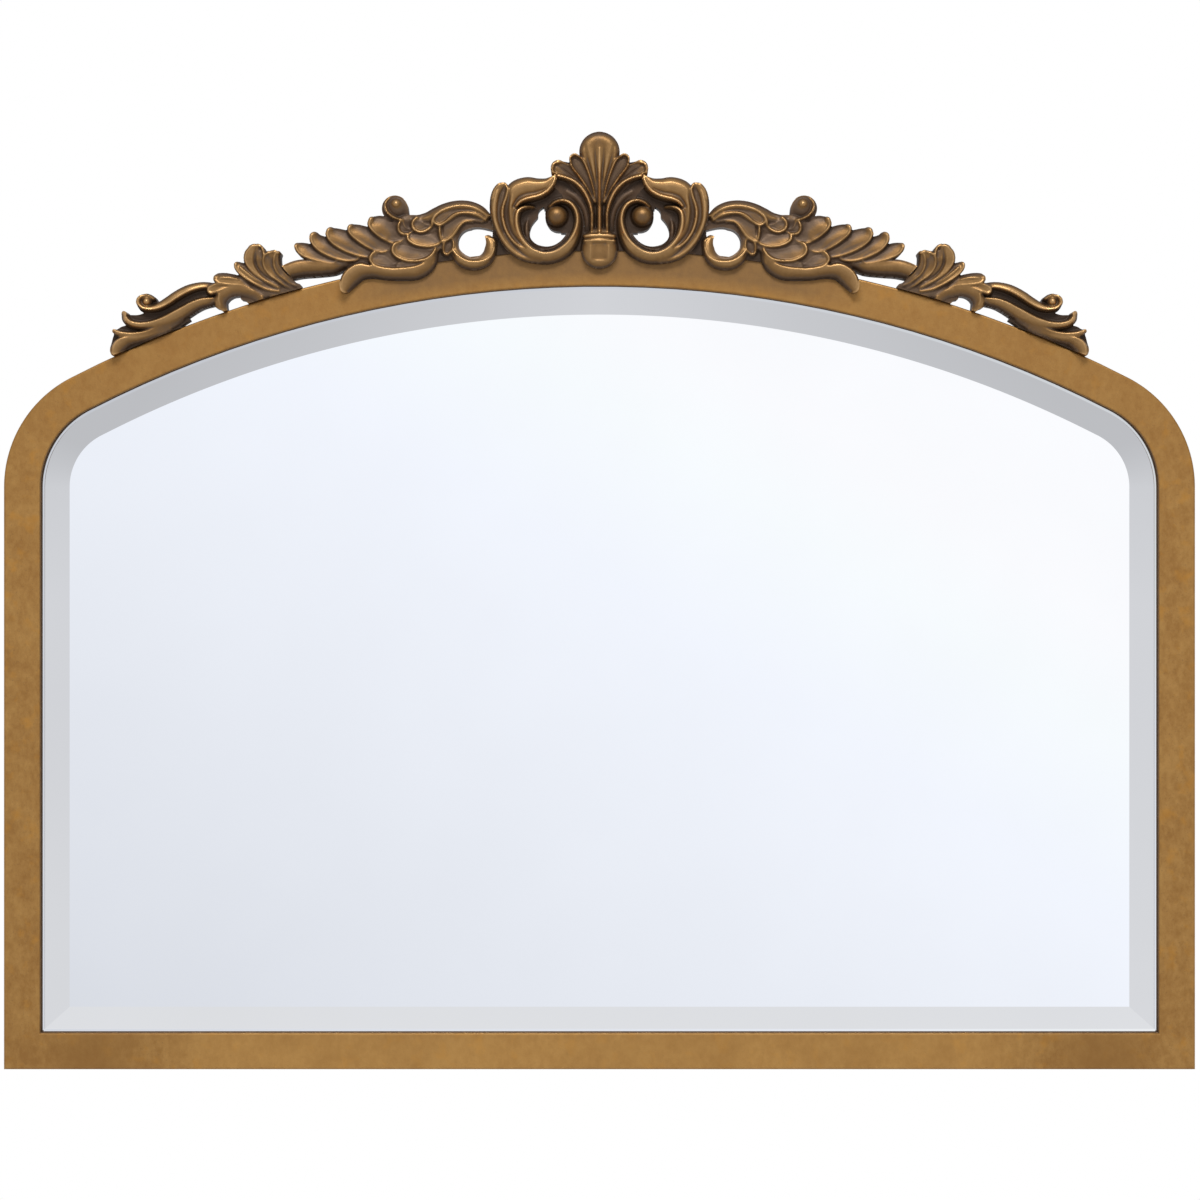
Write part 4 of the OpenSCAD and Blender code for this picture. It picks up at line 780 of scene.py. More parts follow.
    # Tail
    c.band([[296, 600.8, 2.2, 0.5], [302, 600.9, 2.7, 0.62], [307, 600.3, 2.9, 0.68],
            [313, 598.7, 3.2, 0.72], [319, 596, 3.4, 0.74], [325, 592.4, 3.4, 0.76],
            [330, 589, 3.3, 0.76], [335, 586, 3.1, 0.76], [340, 584, 2.7, 0.78], [345, 583.4, 2.3, 0.8],
            [349.6, 584.3, 2.1, 0.84], [352.2, 587.4, 2, 0.84], [351.6, 590.6, 1.8, 0.82],
            [348.4, 592.4, 1.6, 0.78], [344.4, 592.4, 1.4, 0.72], [341.4, 590.4, 1.2, 0.66]],
           [(-1, 0.45), (-0.8, 0.85), (-0.55, 1.0), (-0.25, 0.9), (0.3, 0.84), (0.75, 0.66), (1, 0.35)])
    c.band([[295, 589.2, 3.2, 0.5], [304, 587.7, 3.9, 0.62], [311, 584.8, 4.4, 0.68],
            [318, 580.7, 4.8, 0.7], [325, 576.7, 5, 0.72], [332, 573.2, 4.8, 0.72], [339, 571, 4.2, 0.74],
            [346, 569.9, 3.5, 0.76], [353, 570, 3, 0.8], [358.8, 571.4, 2.8, 0.84],
            [362.6, 574.8, 2.7, 0.88], [363.6, 578.8, 2.2, 0.88]],
           [(-1, 0.25), (-0.75, 0.5), (-0.3, 0.76), (0.2, 0.86), (0.5, 0.9), (0.72, 1.0), (0.9, 0.8),
            (1, 0.5)])
    c.band([[319, 574.4, 1, 0.3], [326, 571.4, 2.4, 0.44], [334, 568.2, 3.8, 0.54], [342, 565, 3.7, 0.6],
            [350, 563, 3.3, 0.64], [358, 562.3, 3.1, 0.7], [365, 563, 2.8, 0.76], [371, 565.6, 1.6, 0.8]],
           [(-1, 0.6), (-0.4, 0.76), (0.1, 0.86), (0.45, 0.94), (0.68, 1.0), (0.88, 0.75), (1, 0.4)])
    c.band([[330, 567.4, 2.2, 0.4], [338, 564.4, 2.8, 0.5], [346, 561.8, 3.2, 0.56], [354, 560, 3.4, 0.6],
            [361, 559, 4.4, 0.66], [366, 556, 5.2, 0.7], [368.8, 552.8, 5.2, 0.72],
            [369.4, 551, 5, 0.72]],
           [(-1, 0.3), (-0.8, 0.5), (-0.4, 0.76), (0.1, 0.95), (0.5, 1.0), (1, 0.7)])
    c.rib([[360, 561, 0.9, 0.64], [365.6, 560.2, 1.2, 0.72], [369.4, 557.8, 1.3, 0.76],
           [371.8, 554, 1.3, 0.78], [372.3, 549.6, 1.1, 0.74]], 1)
    c.rib([[329, 564.4, 0.8, 0.3], [336, 561.4, 1, 0.34], [344, 558.4, 0.8, 0.3]], 0.6)
    c.dome(346.5, 588.6, 4.2, 0.84, 0.3)
    # Painted shadow on the low ground where the wing meets the frame's edge
    c.tone_shift([[229, 600, 5, -0.2], [240, 602, 5, -0.12]])
    c.tone_shift([[252, 610, 9, 0.13], [264, 612, 10, 0.14], [284, 600, 10, 0.12]])
    c.tone_shift([[303, 595.6, 3, -0.1], [318, 589, 4, -0.12], [332, 580, 4, -0.12], [344, 577, 3, -0.08]])
    c.pierce([[270.6, 587.4, 1], [273, 587.2, 2.7], [277, 586.4, 3.6], [280.4, 584.2, 2.8],
              [282.4, 581.6, 1.2]])
    c.pierce([[288.8, 580.4, 0.8], [293, 580.8, 2.8], [298, 579.4, 4.2], [304, 576.4, 4.2],
              [310, 572.8, 3.6], [315, 571.2, 2.4], [320, 569.6, 0.8]])
    return c


def quad_sum(values):
    """Sums the four corners of each cell of a grid"""
    return values[:-1, :-1] + values[1:, :-1] + values[1:, 1:] + values[:-1, 1:]


def fitted_places(carving, rim):
    """Places of the grid's points, with those on the rim moved onto the carving's outline"""
    slope_x, slope_z = np.gradient(carving.inside, carving.grain)
    steep = np.maximum(slope_x ** 2 + slope_z ** 2, LEAST_STEEP)
    most = RIM_MOVE * carving.grain
    step = np.where(rim, np.clip(-carving.inside / steep, -most, most), 0)
    return carving.x + step * slope_x, carving.z + step * slope_z


def casting_faces(cells, used):
    """Quads of the carved front, of the back behind it, and of the walls between them"""
    total = int(used.sum())
    place = np.full(used.shape, -1)
    place[used] = np.arange(total)
    front = np.stack([place[:-1, :-1], place[1:, :-1], place[1:, 1:], place[:-1, 1:]], -1)[cells]
    starts, ends = front.reshape(-1), np.roll(front, -1, axis=1).reshape(-1)
    open_side = ~np.isin(starts * total + ends, ends * total + starts)
    a, b = starts[open_side], ends[open_side]
    walls = np.stack([b, a, a + total, b + total], -1)
    return np.vstack([front, front[:, ::-1] + total, walls])


def grid_mesh(name, points, faces):
    """Smooth mesh of quads from points in millimetres"""
    mesh = bpy.data.meshes.new(name)
    mesh.vertices.add(len(points))
    mesh.vertices.foreach_set("co", (MM * points).astype(np.float32).reshape(-1))
    mesh.loops.add(faces.size)
    mesh.loops.foreach_set("vertex_index", faces.astype(np.int32).reshape(-1))
    mesh.polygons.add(len(faces))
    mesh.polygons.foreach_set("loop_start", np.arange(0, faces.size, 4, dtype=np.int32))
    mesh.update(calc_edges=True)
    mesh.shade_smooth()
    return mesh


def casting(name, carving, mirrored=False):
    """Closed piece from a carving: carved front, walls along its outline, back that beds on the frame"""
    cells = quad_sum(carving.inside) > 0
    count = quad_sum(np.pad(cells, 1).astype(int))
    used = count > 0
    x, z = fitted_places(carving, used & (count < 4))
    level = np.where(carving.inside > 0, carving.level, carving.local_mean(carving.level, carving.grain))
    on_face = carving.beds_on_face & (np.hypot(x, z - ARCH_Z) < ARCH_R + FACE_OVERLAP)
    back_y = np.where(on_face, FACE_Y - BED_GAP, CREST_BACK_Y)
    side = -1 if mirrored else 1
    points = [np.stack([side * x[used], y[used], z[used]], -1) for y in (FACE_Y - level, back_y)]
    faces = casting_faces(cells, used)
    if mirrored:
        faces = faces[:, ::-1]
    mesh = grid_mesh(name, np.vstack(points), faces)
    wear_and_shading = mesh.attributes.new("wear_and_shading", "FLOAT", "POINT")
    rubbed = carving.wear_and_shading()[used]
    values = np.concatenate([rubbed, np.full(len(rubbed), BACK_WEAR)])
    wear_and_shading.data.foreach_set("value", values.astype(np.float32))
    mark_sharp(mesh, SHARP_ANGLE)
    return linked(name, mesh)


def mark_sharp(mesh, angle):
    """Marks the edges that turn by more than the angle, so that flat faces shade flat"""
    normals = np.zeros(len(mesh.polygons) * 3, np.float32)
    mesh.polygons.foreach_get("normal", normals)
    normals = normals.reshape(-1, 3)
    loops = np.zeros(len(mesh.loops), np.int32)
    mesh.loops.foreach_get("edge_index", loops)
    totals = np.zeros(len(mesh.polygons), np.int32)
    mesh.polygons.foreach_get("loop_total", totals)
    owner = np.repeat(np.arange(len(mesh.polygons)), totals)
    order = np.argsort(loops, kind="stable")
    edge, face = loops[order], owner[order]
    same = edge[:-1] == edge[1:]
    turn = np.einsum("ij,ij->i", normals[face[:-1]], normals[face[1:]])
    sharp = np.zeros(len(mesh.edges), bool)
    sharp[edge[:-1][same & (turn < math.cos(angle))]] = True
    mesh.attributes.new("sharp_edge", "BOOLEAN", "EDGE").data.foreach_set("value", sharp)


def linked(name, data):
    """Object with its data, linked to the scene"""
    holder = bpy.data.objects.new(name, data)
    bpy.context.scene.collection.objects.link(holder)
    return holder


def mesh_object(name, points, faces):
    """Object from points in millimetres and faces"""
    mesh = bpy.data.meshes.new(name)
    mesh.from_pydata([tuple(MM * v for v in point) for point in points], [], faces)
    mesh.update()
    return linked(name, mesh)


def add_piece(piece, node, finish):
    """Puts a finish on a piece that stands for a CAD node, and lets it ride on the mirror"""
    piece.data.materials.append(finish)
    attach(piece, BODY)
    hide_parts(node)


def dress(nodes, finish):
    """Puts a finish on CAD nodes that keep their shape"""
    for name in nodes:
        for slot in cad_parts[name].material_slots:
            slot.material = finish


class Nodes:
    """A node tree under construction"""

    def __init__(self, tree):
        self.tree = tree

    def add(self, kind, inputs=None, **settings):
        """Adds a node; an input may be a value or another node's output"""
        node = self.tree.nodes.new(kind)
        for name, value in settings.items():
            setattr(node, name, value)
        for name, value in (inputs or {}).items():
            self.put(node.inputs[name], value)
        return node

    def put(self, socket, value):
        """Gives a socket a value or a link"""
        if isinstance(value, bpy.types.NodeSocket):
            self.tree.links.new(value, socket)
        elif socket.type == "RGBA" and len(value) == 3:
            socket.default_value = (*value, 1)
        else:
            socket.default_value = value

    def spread(self, value, low, high, to_low=0, to_high=1):
        """Stretches the part of a value between low and high, without overshoot"""
        limits = {"From Min": low, "From Max": high, "To Min": to_low, "To Max": to_high}
        return self.add("ShaderNodeMapRange", {"Value": value, **limits}).outputs["Result"]

    def math(self, operation, a, b=0):
        """Works on one or two numbers"""
        return self.add("ShaderNodeMath", {0: a, 1: b}, operation=operation).outputs["Value"]

    def times(self, a, b):
        """Product of two numbers"""
        return self.math("MULTIPLY", a, b)

    def vector(self, operation, a, b=(0, 0, 0), output="Value"):
        """Works on one or two vectors"""
        return self.add("ShaderNodeVectorMath", {0: a, 1: b}, operation=operation).outputs[output]

    def ramp(self, value, stops):
        """Colours at places between 0 and 1"""
        node = self.add("ShaderNodeValToRGB", {"Fac": value})
        points = node.color_ramp.elements
        while len(points) < len(stops):
            points.new(0.5)
        for point, (position, colour) in zip(points, stops):
            point.position = position
            point.color = (*colour, 1)
        return node.outputs["Color"]

    def mix(self, amount, a, b):
        """Mixes two colours"""
        return self.add("ShaderNodeMix", {"Factor": amount, 6: a, 7: b}, data_type="RGBA").outputs[2]

    def mix_shaders(self, amount, a, b):
        """Mixes two shaders"""
        return self.add("ShaderNodeMixShader", {"Fac": amount, 1: a, 2: b}).outputs["Shader"]


class Finish(Nodes):
    """A node material under construction"""

    def __init__(self, name):
        self.material = bpy.data.materials.new(name)
        self.material.use_nodes = True
        super().__init__(self.material.node_tree)
        self.shader = self.tree.nodes["Principled BSDF"]
        self.place = self.add("ShaderNodeTexCoord").outputs["Object"]

    def noise(self, scale, detail=4, rough=0.55, stretch=(1, 1, 1)):
        """Noise between 0 and 1; scale is in features per metre"""
        place = self.add("ShaderNodeMapping", {"Vector": self.place, "Scale": stretch}).outputs["Vector"]
        inputs = {"Vector": place, "Scale": scale, "Detail": detail, "Roughness": rough}
        return self.add("ShaderNodeTexNoise", inputs).outputs["Fac"]

    def bump(self, value, height, below=None):
        """Relief of the given height in metres"""
        inputs = {"Height": value, "Distance": height, "Strength": 1.0}
        if below:
            inputs["Normal"] = below
        return self.add("ShaderNodeBump", inputs).outputs["Normal"]

    def set(self, **values):
        """Sets the shader's sockets, whose names are written with underscores"""
        for name, value in values.items():
            self.put(self.shader.inputs[name.replace("_", " ")], value)
        return self.material


def shade_and_grime_under_crest(f, at, aside):
    """Where painted shade and grime darken the edge of the arch under the crest, from 0 to 1"""
    radius = f.vector("DISTANCE", f.place, (0, 0, MM * ARCH_Z))
    shade_and_grime = f.times(f.spread(radius, *CREST_SHADE_RADIUS), f.spread(at["Y"], *CREST_SHADE_DEPTH))
    return f.times(shade_and_grime, f.spread(aside, *CREST_SHADE_HALF, 0, 0.95))


def bottom_rail_tones(f, face, at, aside, clouds, colours):
    """Pales the middle of the bottom rail, and stains its ends and a few spots of it"""
    rail = f.spread(at["Z"], *RAIL_TOP)
    pale = f.times(rail, f.spread(aside, *PALE_HALF))
    face = f.mix(f.times(pale, 0.45), face, Vector(colours.gilt) * 1.3)
    ends = f.times(f.spread(aside, *STAIN_FROM), f.spread(aside, *STAIN_TO))
    spots = f.times(f.spread(f.noise(16, 3, 0.6), 0.46, 0.60), 0.3)
    tone_shift = f.times(f.math("MAXIMUM", ends, spots), rail)
    tone_shift = f.times(tone_shift, f.spread(clouds, 0.25, 0.65, 1.0, 0.55))
    return f.mix(tone_shift, face, Vector(colours.gilt_shade) * 0.92)


def sight_wall_shade(f, at):
    """Painted shade: 0 on the face to 1 deep on the wall that looks at the glass"""
    off_centre = f.vector("SUBTRACT", f.place, MIDDLE, "Vector")
    normal = f.add("ShaderNodeTexCoord").outputs["Normal"]
    outward = f.vector("DOT_PRODUCT", off_centre, normal)
    return f.times(f.spread(outward, *SIGHT_FACING), f.spread(at["Y"], *SIGHT_DEPTH))


def satin_gilt(colours):
    """Satin bronze-gold lacquer of the frame: clouds, dabs and specks, with tones that change by place"""
    f = Finish("satin_gilt")
    at = f.add("ShaderNodeSeparateXYZ", {"Vector": f.place}).outputs
    aside = f.math("ABSOLUTE", at["X"])
    clouds = f.noise(38, 5, 0.6)
    dabs = f.noise(210, 4, 0.65, (1, 1, 0.7))
    specks = f.noise(900, 2, 0.5)
    tone = f.math("ADD", f.times(clouds, 0.5), f.times(dabs, 0.5))
    face = f.mix(f.spread(tone, 0.38, 0.62), colours.gilt_shade, colours.gilt)
    face = f.mix(f.spread(specks, 0.60, 0.74, 0, 0.45), face, colours.bronze)
    face = f.mix(f.spread(f.noise(70, 3, 0.55), 0.56, 0.70, 0, 0.5), face, colours.amber)
    # Painted shade darkening the top of the frame, which the lamp above lights more
    face = f.mix(f.spread(at["Z"], *SHADED_TOP, 0, 0.45), face, colours.gilt_shade)
    # Painted shade and grime under the crest, in the bronze colour
    shade_and_grime = f.times(shade_and_grime_under_crest(f, at, aside), f.spread(dabs, 0.2, 0.6, 1, 0.75))
    face = f.mix(shade_and_grime, face, colours.bronze)
    face = bottom_rail_tones(f, face, at, aside, clouds, colours)
    sight_wall = sight_wall_shade(f, at)
    # Painted shade: the sight wall is darkened towards umber
    colour = f.mix(f.times(sight_wall, 0.9), face, colours.umber)
    rough = f.math("MAXIMUM", f.spread(tone, 0.3, 0.7, 0.50, 0.40), sight_wall)
    relief = f.bump(specks, 0.00004, f.bump(dabs, 0.00012))
    return f.set(Base_Color=colour, Metallic=0.55, Roughness=rough, Normal=relief)


def rubbed_bronze(colours):
    """Finish of the castings: umber in the hollows, bronze over it, gilt rubbed bright on the ridges, with
    the carving's painted shade and highlights
    """
    f = Finish("rubbed_bronze")
    wear_and_shading = f.add("ShaderNodeAttribute", attribute_name="wear_and_shading").outputs["Fac"]
    clouds = f.noise(90, 4, 0.6)
    dabs = f.noise(420, 3, 0.6)
    grains = f.noise(1600, 2, 0.5)
    uneven = f.math("ADD", f.times(clouds, 0.16), f.times(dabs, 0.12))
    worn_and_shaded = f.math("ADD", wear_and_shading, f.math("SUBTRACT", uneven, 0.14))
    umber, wax, bronze, rubbed = (
        Vector(colour) for colour in (colours.umber, colours.wax, colours.bronze, colours.rubbed))
    colour = f.ramp(worn_and_shaded, (
        (0.0, umber * 0.5), (0.2, umber), (0.36, wax), (0.52, bronze), (0.74, bronze.lerp(rubbed, 0.34)),
        (1.0, rubbed)))
    return f.set(
        Base_Color=colour,
        Metallic=f.spread(worn_and_shaded, 0.2, 0.6, 0.2, 0.85),
        Roughness=f.spread(worn_and_shaded, 0.2, 0.9, 0.50, 0.38),
        Normal=f.bump(grains, 0.00003, f.bump(dabs, 0.00010)),
        Specular_IOR_Level=0.3)


def silvered_glass(colours):
    """Mirror glass: bright silvering in faint clouds, with painted shade dimming the polished strip along its
    edge
    """
    f = Finish("silvered_glass")
    haze = f.noise(9, 3, 0.5)
    streaks = f.noise(40, 3, 0.5, (1, 1, 0.25))
    silver = Vector(colours.silver)
    colour = f.mix(f.spread(haze, 0.35, 0.7), silver, silver * 0.985)
    edge = f.add("ShaderNodeAttribute", attribute_name="edge").outputs["Fac"]
    # Painted shade on the polished strip along the frame's edge
    colour = f.mix(edge, colour, silver * 0.68)
    return f.set(Base_Color=colour, Metallic=1.0, Roughness=f.spread(streaks, 0.3, 0.7, 0.012, 0.022))


def hardboard(colours):
    """Hardboard of the back: pressed brown fibre with a faint mesh print"""
    f = Finish("hardboard")
    fibre = f.noise(700, 5, 0.7, (1, 1, 0.6))
    clouds = f.noise(18, 4, 0.6)
    board = Vector(colours.board)
    colour = f.mix(f.spread(fibre, 0.35, 0.65), board * 0.72, board * 1.25)
    colour = f.mix(f.spread(clouds, 0.35, 0.7, 0, 0.5), colour, board * 0.8)
    mesh_print = f.add("ShaderNodeTexVoronoi", {"Vector": f.place, "Scale": 650.0}).outputs["Distance"]
    relief = f.bump(mesh_print, 0.00012, f.bump(fibre, 0.00015))
    return f.set(Base_Color=colour, Roughness=0.82, Normal=relief)


def beech_wood(colours):
    """Pale beech of the dowels, with its short flecks"""
    f = Finish("beech_wood")
    grain = f.noise(260, 5, 0.6, (1, 1, 0.12))
    flecks = f.noise(1500, 2, 0.5, (1, 1, 0.3))
    beech = Vector(colours.beech)
    colour = f.mix(f.spread(grain, 0.35, 0.65), beech * 0.78, beech * 1.08)
    colour = f.mix(f.spread(flecks, 0.6, 0.72, 0, 0.6), colour, beech * 0.55)
    return f.set(Base_Color=colour, Roughness=0.6, Normal=f.bump(grain, 0.0001))


def zinc_steel(colours):
    """Zinc-plated steel: fine drawn lines, dull grey spots and a satin shine"""
    f = Finish("zinc_steel")
    lines = f.noise(900, 3, 0.6, (0.08, 1, 1))
    spots = f.noise(150, 4, 0.6)
    zinc = Vector(colours.zinc)
    colour = f.mix(f.spread(spots, 0.4, 0.66), zinc * 1.08, zinc * 0.72)
    rough = f.spread(lines, 0.3, 0.7, 0.26, 0.42)
    return f.set(Base_Color=colour, Metallic=0.95, Roughness=rough, Normal=f.bump(lines, 0.00003))


def pad_rubber(colours):
    """Rubber of the wall pads: matt, finely pitted, with a trace of dust"""
    f = Finish("pad_rubber")
    pits = f.noise(1300, 3, 0.6)
    dust = f.noise(120, 4, 0.6)
    rubber = Vector(colours.rubber)
    colour = f.mix(f.spread(dust, 0.5, 0.75, 0, 0.35), rubber, rubber * 3)
    return f.set(Base_Color=colour, Roughness=0.85, Normal=f.bump(pits, 0.0001))


def floor_paper(colours, reach):
    """Pale studio floor that fades into the white background towards its edge"""
    f = Finish("floor_paper")
    fibre = f.noise(60, 3, 0.5)
    paper = Vector(colours.paper)
    f.set(Base_Color=f.mix(fibre, paper * 0.99, paper), Roughness=0.95)
    start, end = (share * reach for share in FLOOR_FADE)
    far = f.spread(f.vector("LENGTH", f.place), start, end)
    white = f.add("ShaderNodeEmission", {"Color": WHITE, "Strength": 1.0}).outputs["Emission"]
    surface = f.tree.nodes["Material Output"].inputs["Surface"]
    f.put(surface, f.mix_shaders(far, f.shader.outputs["BSDF"], white))
    return f.material


def sheet_colour(w, across, up):
    """Light of the sheet, which grows to one side and upwards, with a faint blue tint"""
    growth = w.math("ADD", w.times(across, SHEET_ACROSS), w.times(up, SHEET_UP))
    light = w.math("ADD", growth, SHEET_LIGHT)
    channels = {
        name: w.math("MINIMUM", w.times(light, tint), most)
        for name, tint, most in zip(("Red", "Green", "Blue"), SHEET_TINT, SHEET_BRIGHTEST)}
    return w.add("ShaderNodeCombineColor", channels).outputs["Color"]


def sheet_distance(w, aside, up):
    """0 in the middle of the sheet and 1 on its outline with round corners"""
    upright = w.math("MAXIMUM", w.math("DIVIDE", up, SHEET_TOP), w.math("DIVIDE", up, -SHEET_FOOT))
    reaches = (w.math("DIVIDE", aside, SHEET_HALF_WIDTH), upright)
    powers = (w.math("POWER", reach, SHEET_CORNER) for reach in reaches)
    return w.math("POWER", w.math("ADD", *powers), 1 / SHEET_CORNER)


def studio_world():
    """White behind the object, a soft white sheet seen in the mirror, and an even light on the rest"""
    world = bpy.data.worlds.new("studio_world")
    world.use_nodes = True
    world.node_tree.nodes.clear()
    w = Nodes(world.node_tree)
    looking = w.add("ShaderNodeTexCoord").outputs["Generated"]
    direction = w.add("ShaderNodeSeparateXYZ", {"Vector": looking}).outputs
    ahead = w.math("MAXIMUM", w.times(direction["Y"], -1), LEAST_AHEAD)
    across, up = (w.math("DIVIDE", direction[axis], ahead) for axis in ("X", "Z"))
    aside = w.math("ABSOLUTE", across)
    beyond = w.spread(sheet_distance(w, aside, up), *SHEET_EDGE)
    walls = w.mix(w.spread(up, *LOW_WALL), STUDIO_GREY, STUDIO_LOW)
    corner = w.spread(w.times(aside, up), *CORNER_WALL, 0, CORNER_SHADE)
    seen = w.mix(beyond, sheet_colour(w, across, up), w.mix(corner, walls, BLACK))
    rays = w.add("ShaderNodeLightPath").outputs
    glossy = w.math("MAXIMUM", rays["Is Glossy Ray"], rays["Is Transmission Ray"])
    even, shown, white = (
        w.add("ShaderNodeBackground", {"Color": colour, "Strength": strength}).outputs["Background"]
        for colour, strength in ((WHITE, AMBIENT), (seen, 1.0), (WHITE, 1.0)))
    whole = w.mix_shaders(rays["Is Camera Ray"], w.mix_shaders(glossy, even, shown), white)
    w.add("ShaderNodeOutputWorld", {"Surface": whole})
    return world


def area_light(name, place, aim, size, power, mirrored):
    """Soft rectangular lamp that points at a place; mirrored says whether shiny surfaces show it"""
    lamp = bpy.data.lights.new(name, "AREA")
    lamp.shape = "RECTANGLE"
    lamp.size, lamp.size_y = size
    lamp.energy = power
    holder = linked(name, lamp)
    holder.location = place
    holder.rotation_euler = (Vector(aim) - Vector(place)).to_track_quat("-Z", "Y").to_euler()
    holder.visible_camera = False
    holder.visible_glossy = mirrored


def studio_floor(drop, finish):
    """Round floor under the object"""
    turns = [k * math.tau / FLOOR_CORNERS for k in range(FLOOR_CORNERS)]
    points = [(FLOOR_REACH * math.cos(turn), FLOOR_REACH * math.sin(turn), 0.0) for turn in turns]
    floor = mesh_object("studio_floor", points, [tuple(range(FLOOR_CORNERS))])
    floor.location.z = -drop
    floor.data.materials.append(finish)


def studio_camera(distance):
    """Camera before the mirror, with the frame filling the picture's width"""
    lens = bpy.data.cameras.new("camera")
    lens.sensor_width = SENSOR
    lens.lens = SENSOR * distance / PICTURE_WIDTH
    camera = linked("camera", lens)
    camera.location = (CAMERA_X, FACE_Y * MM - distance, CAMERA_Z)
    camera.rotation_euler = (math.radians(90), 0, 0)
    return camera


def arc(x, z, radius, start, end, shares):
    """Points round a centre, at shares of the turn from start to end"""
    angles = (start + (end - start) * share for share in shares)
    return [(x + radius * math.cos(angle), z + radius * math.sin(angle)) for angle in angles]


def glass_outline(inset, foot, steps):
    """Points of the arched outline, clockwise from the lower left; inset is from the frame's outside"""
    half, shoulder, arch = HALF_WIDTH - inset, SHOULDER_R - inset, ARCH_R - inset
    turn = math.acos(SHOULDER_X / (ARCH_R - SHOULDER_R))
    shares = [k / steps for k in range(steps + 1)]
    return [
        (-half, foot),
        *arc(-SHOULDER_X, SHOULDER_Z, shoulder, math.pi, math.pi - turn, shares),
        *arc(0, ARCH_Z, arch, math.pi - turn, turn, shares[1:-1]),
        *arc(SHOULDER_X, SHOULDER_Z, shoulder, turn, 0, shares),
        (half, foot)]


def glass_rings(sizes, front, back):
    """Outlines of the glass from its back to its flat: inset, foot, y, y at the foot, and 1 on the strip,
    which takes painted shade
    """
    slope = sizes.bevel_drop / sizes.bevel_width
    flat, flat_foot = GLASS_INSET + sizes.bevel_width, GLASS_FOOT + sizes.bevel_width
    edge = front + sizes.bevel_drop
    strip = STRIP_INSET + STRIP_WIDTH
    bevel = strip + STRIP_STEP
    lip = front + slope * (flat - STRIP_INSET)
    sunk = lip + STRIP_SLOPE * STRIP_WIDTH
    return (
        (GLASS_INSET, GLASS_FOOT, back, back, 1),
        (GLASS_INSET, GLASS_FOOT, edge, edge, 1),
        (STRIP_INSET, STRIP_INSET, lip, lip, 1),
        (strip, strip, sunk, sunk, 1),
        (bevel, bevel, front + slope * (flat - strip), front + slope * (flat_foot - strip), 0),
        (flat, flat_foot, front, front, 0))


class MirrorFrameFinish(bpy.types.Operator):
    """Puts the satin gilt on the six frame members and beech on their dowels"""

    bl_idname = "mirror.frame_finish"
    bl_label = "Frame Finish"

    def execute(self, context):
        colours = context.scene.mirror_colours
        dress(FRAME_MEMBERS, satin_gilt(colours))
        dress(("frame_dowels",), beech_wood(colours))
        return {"FINISHED"}


class MirrorGlass(bpy.types.Operator):
    """Makes the bevelled mirror glass"""

    bl_idname = "mirror.glass"
    bl_label = "Bevelled Glass"

    def execute(self, context):
        sizes, colours = context.scene.mirror_sizes, context.scene.mirror_colours
        low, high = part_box("mirror_glass")
        points, edge = [], []
        rings = glass_rings(sizes, low.y / MM, high.y / MM)
        for inset, foot, y, foot_y, strip in rings:
            outline = glass_outline(inset, foot, sizes.arc_steps)
            ends = (0, len(outline) - 1)
            points += [(x, foot_y if k in ends else y, z) for k, (x, z) in enumerate(outline)]
            # Painted shade on the strip, weaker at the foot
            edge += [strip * (STRIP_FOOT_SHADE if k in ends else 1.0) for k in range(len(outline))]
        count = len(points) // len(rings)
        faces = [tuple(range(count)), tuple(range(len(points) - count, len(points)))[::-1]]
        for ring in range(len(rings) - 1):
            for k in range(count):
                a, b = ring * count + k, ring * count + (k + 1) % count
                faces.append((a, a + count, b + count, b))
        glass = mesh_object("mirror_glass_bevelled", points, faces)
        glass.data.attributes.new("edge", "FLOAT", "POINT").data.foreach_set("value", edge)
        glass.data.shade_smooth()
        mark_sharp(glass.data, GRIND_ANGLE)
        add_piece(glass, "mirror_glass", silvered_glass(colours))
        return {"FINISHED"}


class MirrorBacking(bpy.types.Operator):
    """Puts the hardboard finish on the backing board"""

    bl_idname = "mirror.backing"
    bl_label = "Backing Board"

    def execute(self, context):
        dress(("backing_board",), hardboard(context.scene.mirror_colours))
        return {"FINISHED"}


class MirrorCrest(bpy.types.Operator):
    """Carves the palmette, the C-scrolls and the wings of the crest"""

    bl_idname = "mirror.crest"
    bl_label = "Carved Crest"

    def execute(self, context):
        sizes = context.scene.mirror_sizes
        finish = rubbed_bronze(context.scene.mirror_colours)
        centre, scroll, inner, outer = (
            make(sizes.grain, sizes.relief) for make in (palmette, c_scroll, inner_wing, outer_wing))
        outer.beds_on_face = False
        outer.inside = np.minimum(outer.inside, np.hypot(outer.x, outer.z - ARCH_Z) - ARCH_R - BED_GAP)
        inner.keep_off(scroll, BED_GAP)
        inner.keep_off(outer, BED_GAP)
        centre.keep_off(scroll, BED_GAP)
        for carving in (centre, scroll, inner, outer):
            carving.finish(sizes.softness, sizes.hand, CARVING_SEED)
        add_piece(casting("palmette_casting", centre), "crest_palmette", finish)
        for name, carving in (("c_scroll", scroll), ("inner_wing", inner), ("outer_wing", outer)):
            for side in ("left", "right"):
                piece = casting(f"{side}_{name}_casting", carving, side == "left")
                add_piece(piece, f"{side}_{name}", finish)
        return {"FINISHED"}


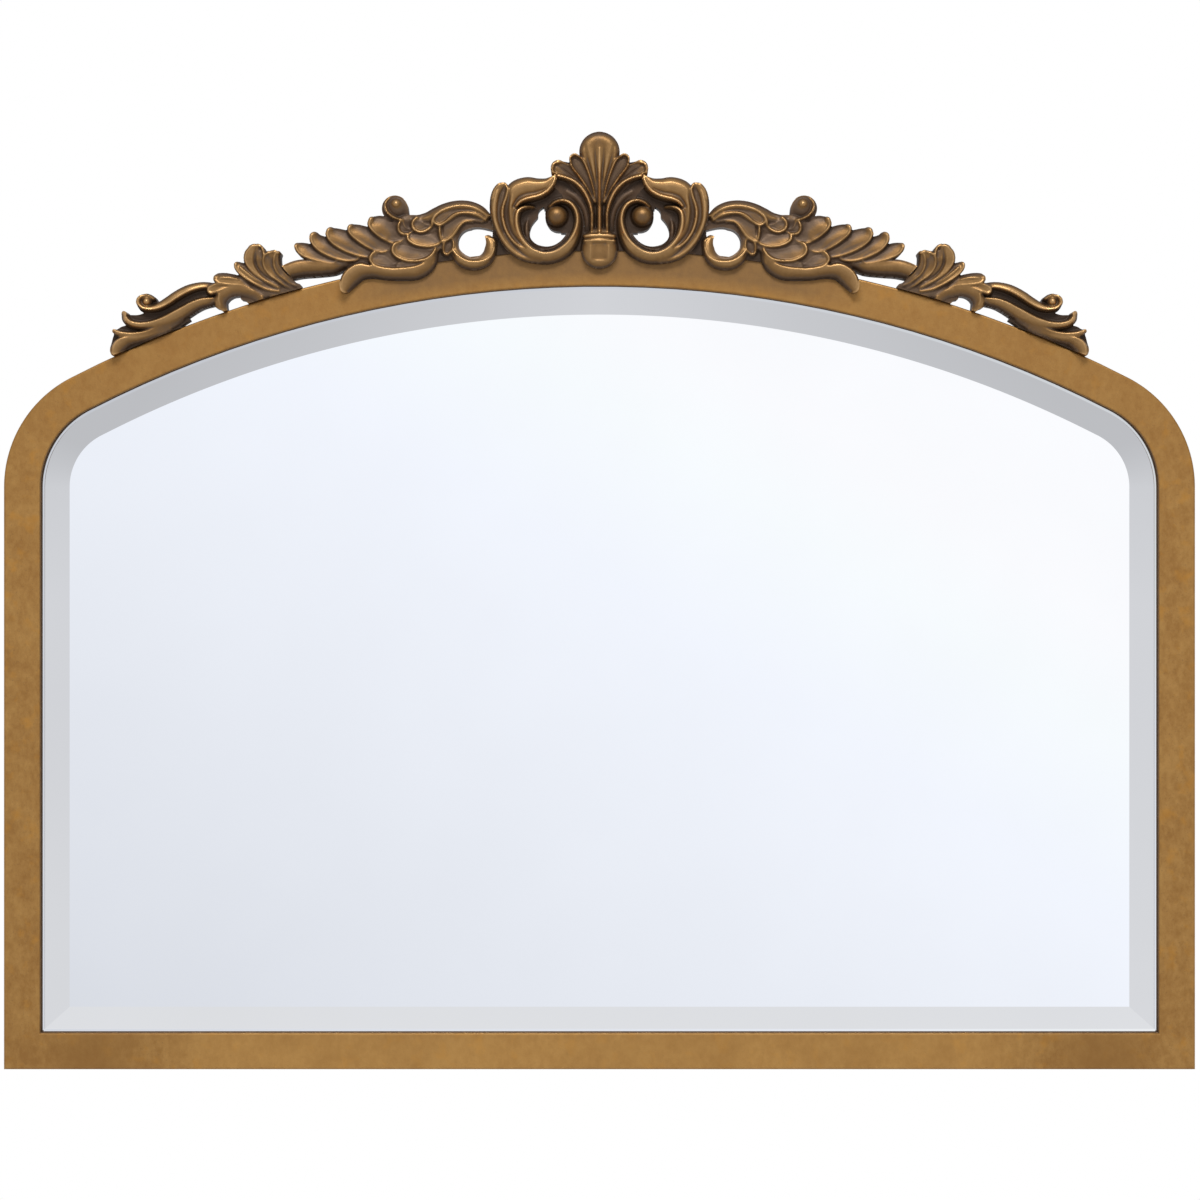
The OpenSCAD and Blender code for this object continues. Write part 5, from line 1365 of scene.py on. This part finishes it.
class MirrorFittings(bpy.types.Operator):
    """Puts zinc-plated steel on the nails, points, pins, screws and hangers"""

    bl_idname = "mirror.fittings"
    bl_label = "Steel Fittings"

    def execute(self, context):
        dress(FITTINGS, zinc_steel(context.scene.mirror_colours))
        return {"FINISHED"}


class MirrorPads(bpy.types.Operator):
    """Puts rubber on the wall pads"""

    bl_idname = "mirror.pads"
    bl_label = "Wall Pads"

    def execute(self, context):
        dress(("wall_pads",), pad_rubber(context.scene.mirror_colours))
        return {"FINISHED"}


class MirrorStage(bpy.types.Operator):
    """Sets up the studio: pale floor, soft light, white background and camera"""

    bl_idname = "mirror.stage"
    bl_label = "Studio Stage"

    def execute(self, context):
        scene = context.scene
        studio_floor(scene.mirror_sizes.floor_drop, floor_paper(scene.mirror_colours, FLOOR_REACH * MM))
        for lamp in STUDIO_LAMPS:
            area_light(*lamp)
        scene.world = studio_world()
        scene.view_settings.view_transform = "Standard"
        scene.camera = studio_camera(scene.mirror_sizes.camera_distance)
        return {"FINISHED"}


STEPS = (MirrorFrameFinish, MirrorGlass, MirrorBacking, MirrorCrest, MirrorFittings, MirrorPads, MirrorStage)


class MirrorPanel(bpy.types.Panel):
    """Lists the steps that dress the mirror"""

    bl_idname = "VIEW3D_PT_mirror"
    bl_label = "Arched Mirror"
    bl_space_type = "VIEW_3D"
    bl_region_type = "UI"
    bl_category = "Mirror"

    def draw(self, context):
        for step in STEPS:
            self.layout.operator(step.bl_idname)


def register():
    for kind in (MirrorSizes, MirrorColours, *STEPS, MirrorPanel):
        bpy.utils.register_class(kind)
    bpy.types.Scene.mirror_sizes = PointerProperty(type=MirrorSizes)
    bpy.types.Scene.mirror_colours = PointerProperty(type=MirrorColours)


def unregister():
    del bpy.types.Scene.mirror_colours
    del bpy.types.Scene.mirror_sizes
    for kind in (MirrorPanel, *reversed(STEPS), MirrorColours, MirrorSizes):
        bpy.utils.unregister_class(kind)


def main():
    register()
    bpy.ops.mirror.frame_finish()
    bpy.ops.mirror.glass()
    bpy.ops.mirror.backing()
    bpy.ops.mirror.crest()
    bpy.ops.mirror.fittings()
    bpy.ops.mirror.pads()
    bpy.ops.mirror.stage()


if __name__ == "__main__":
    main()
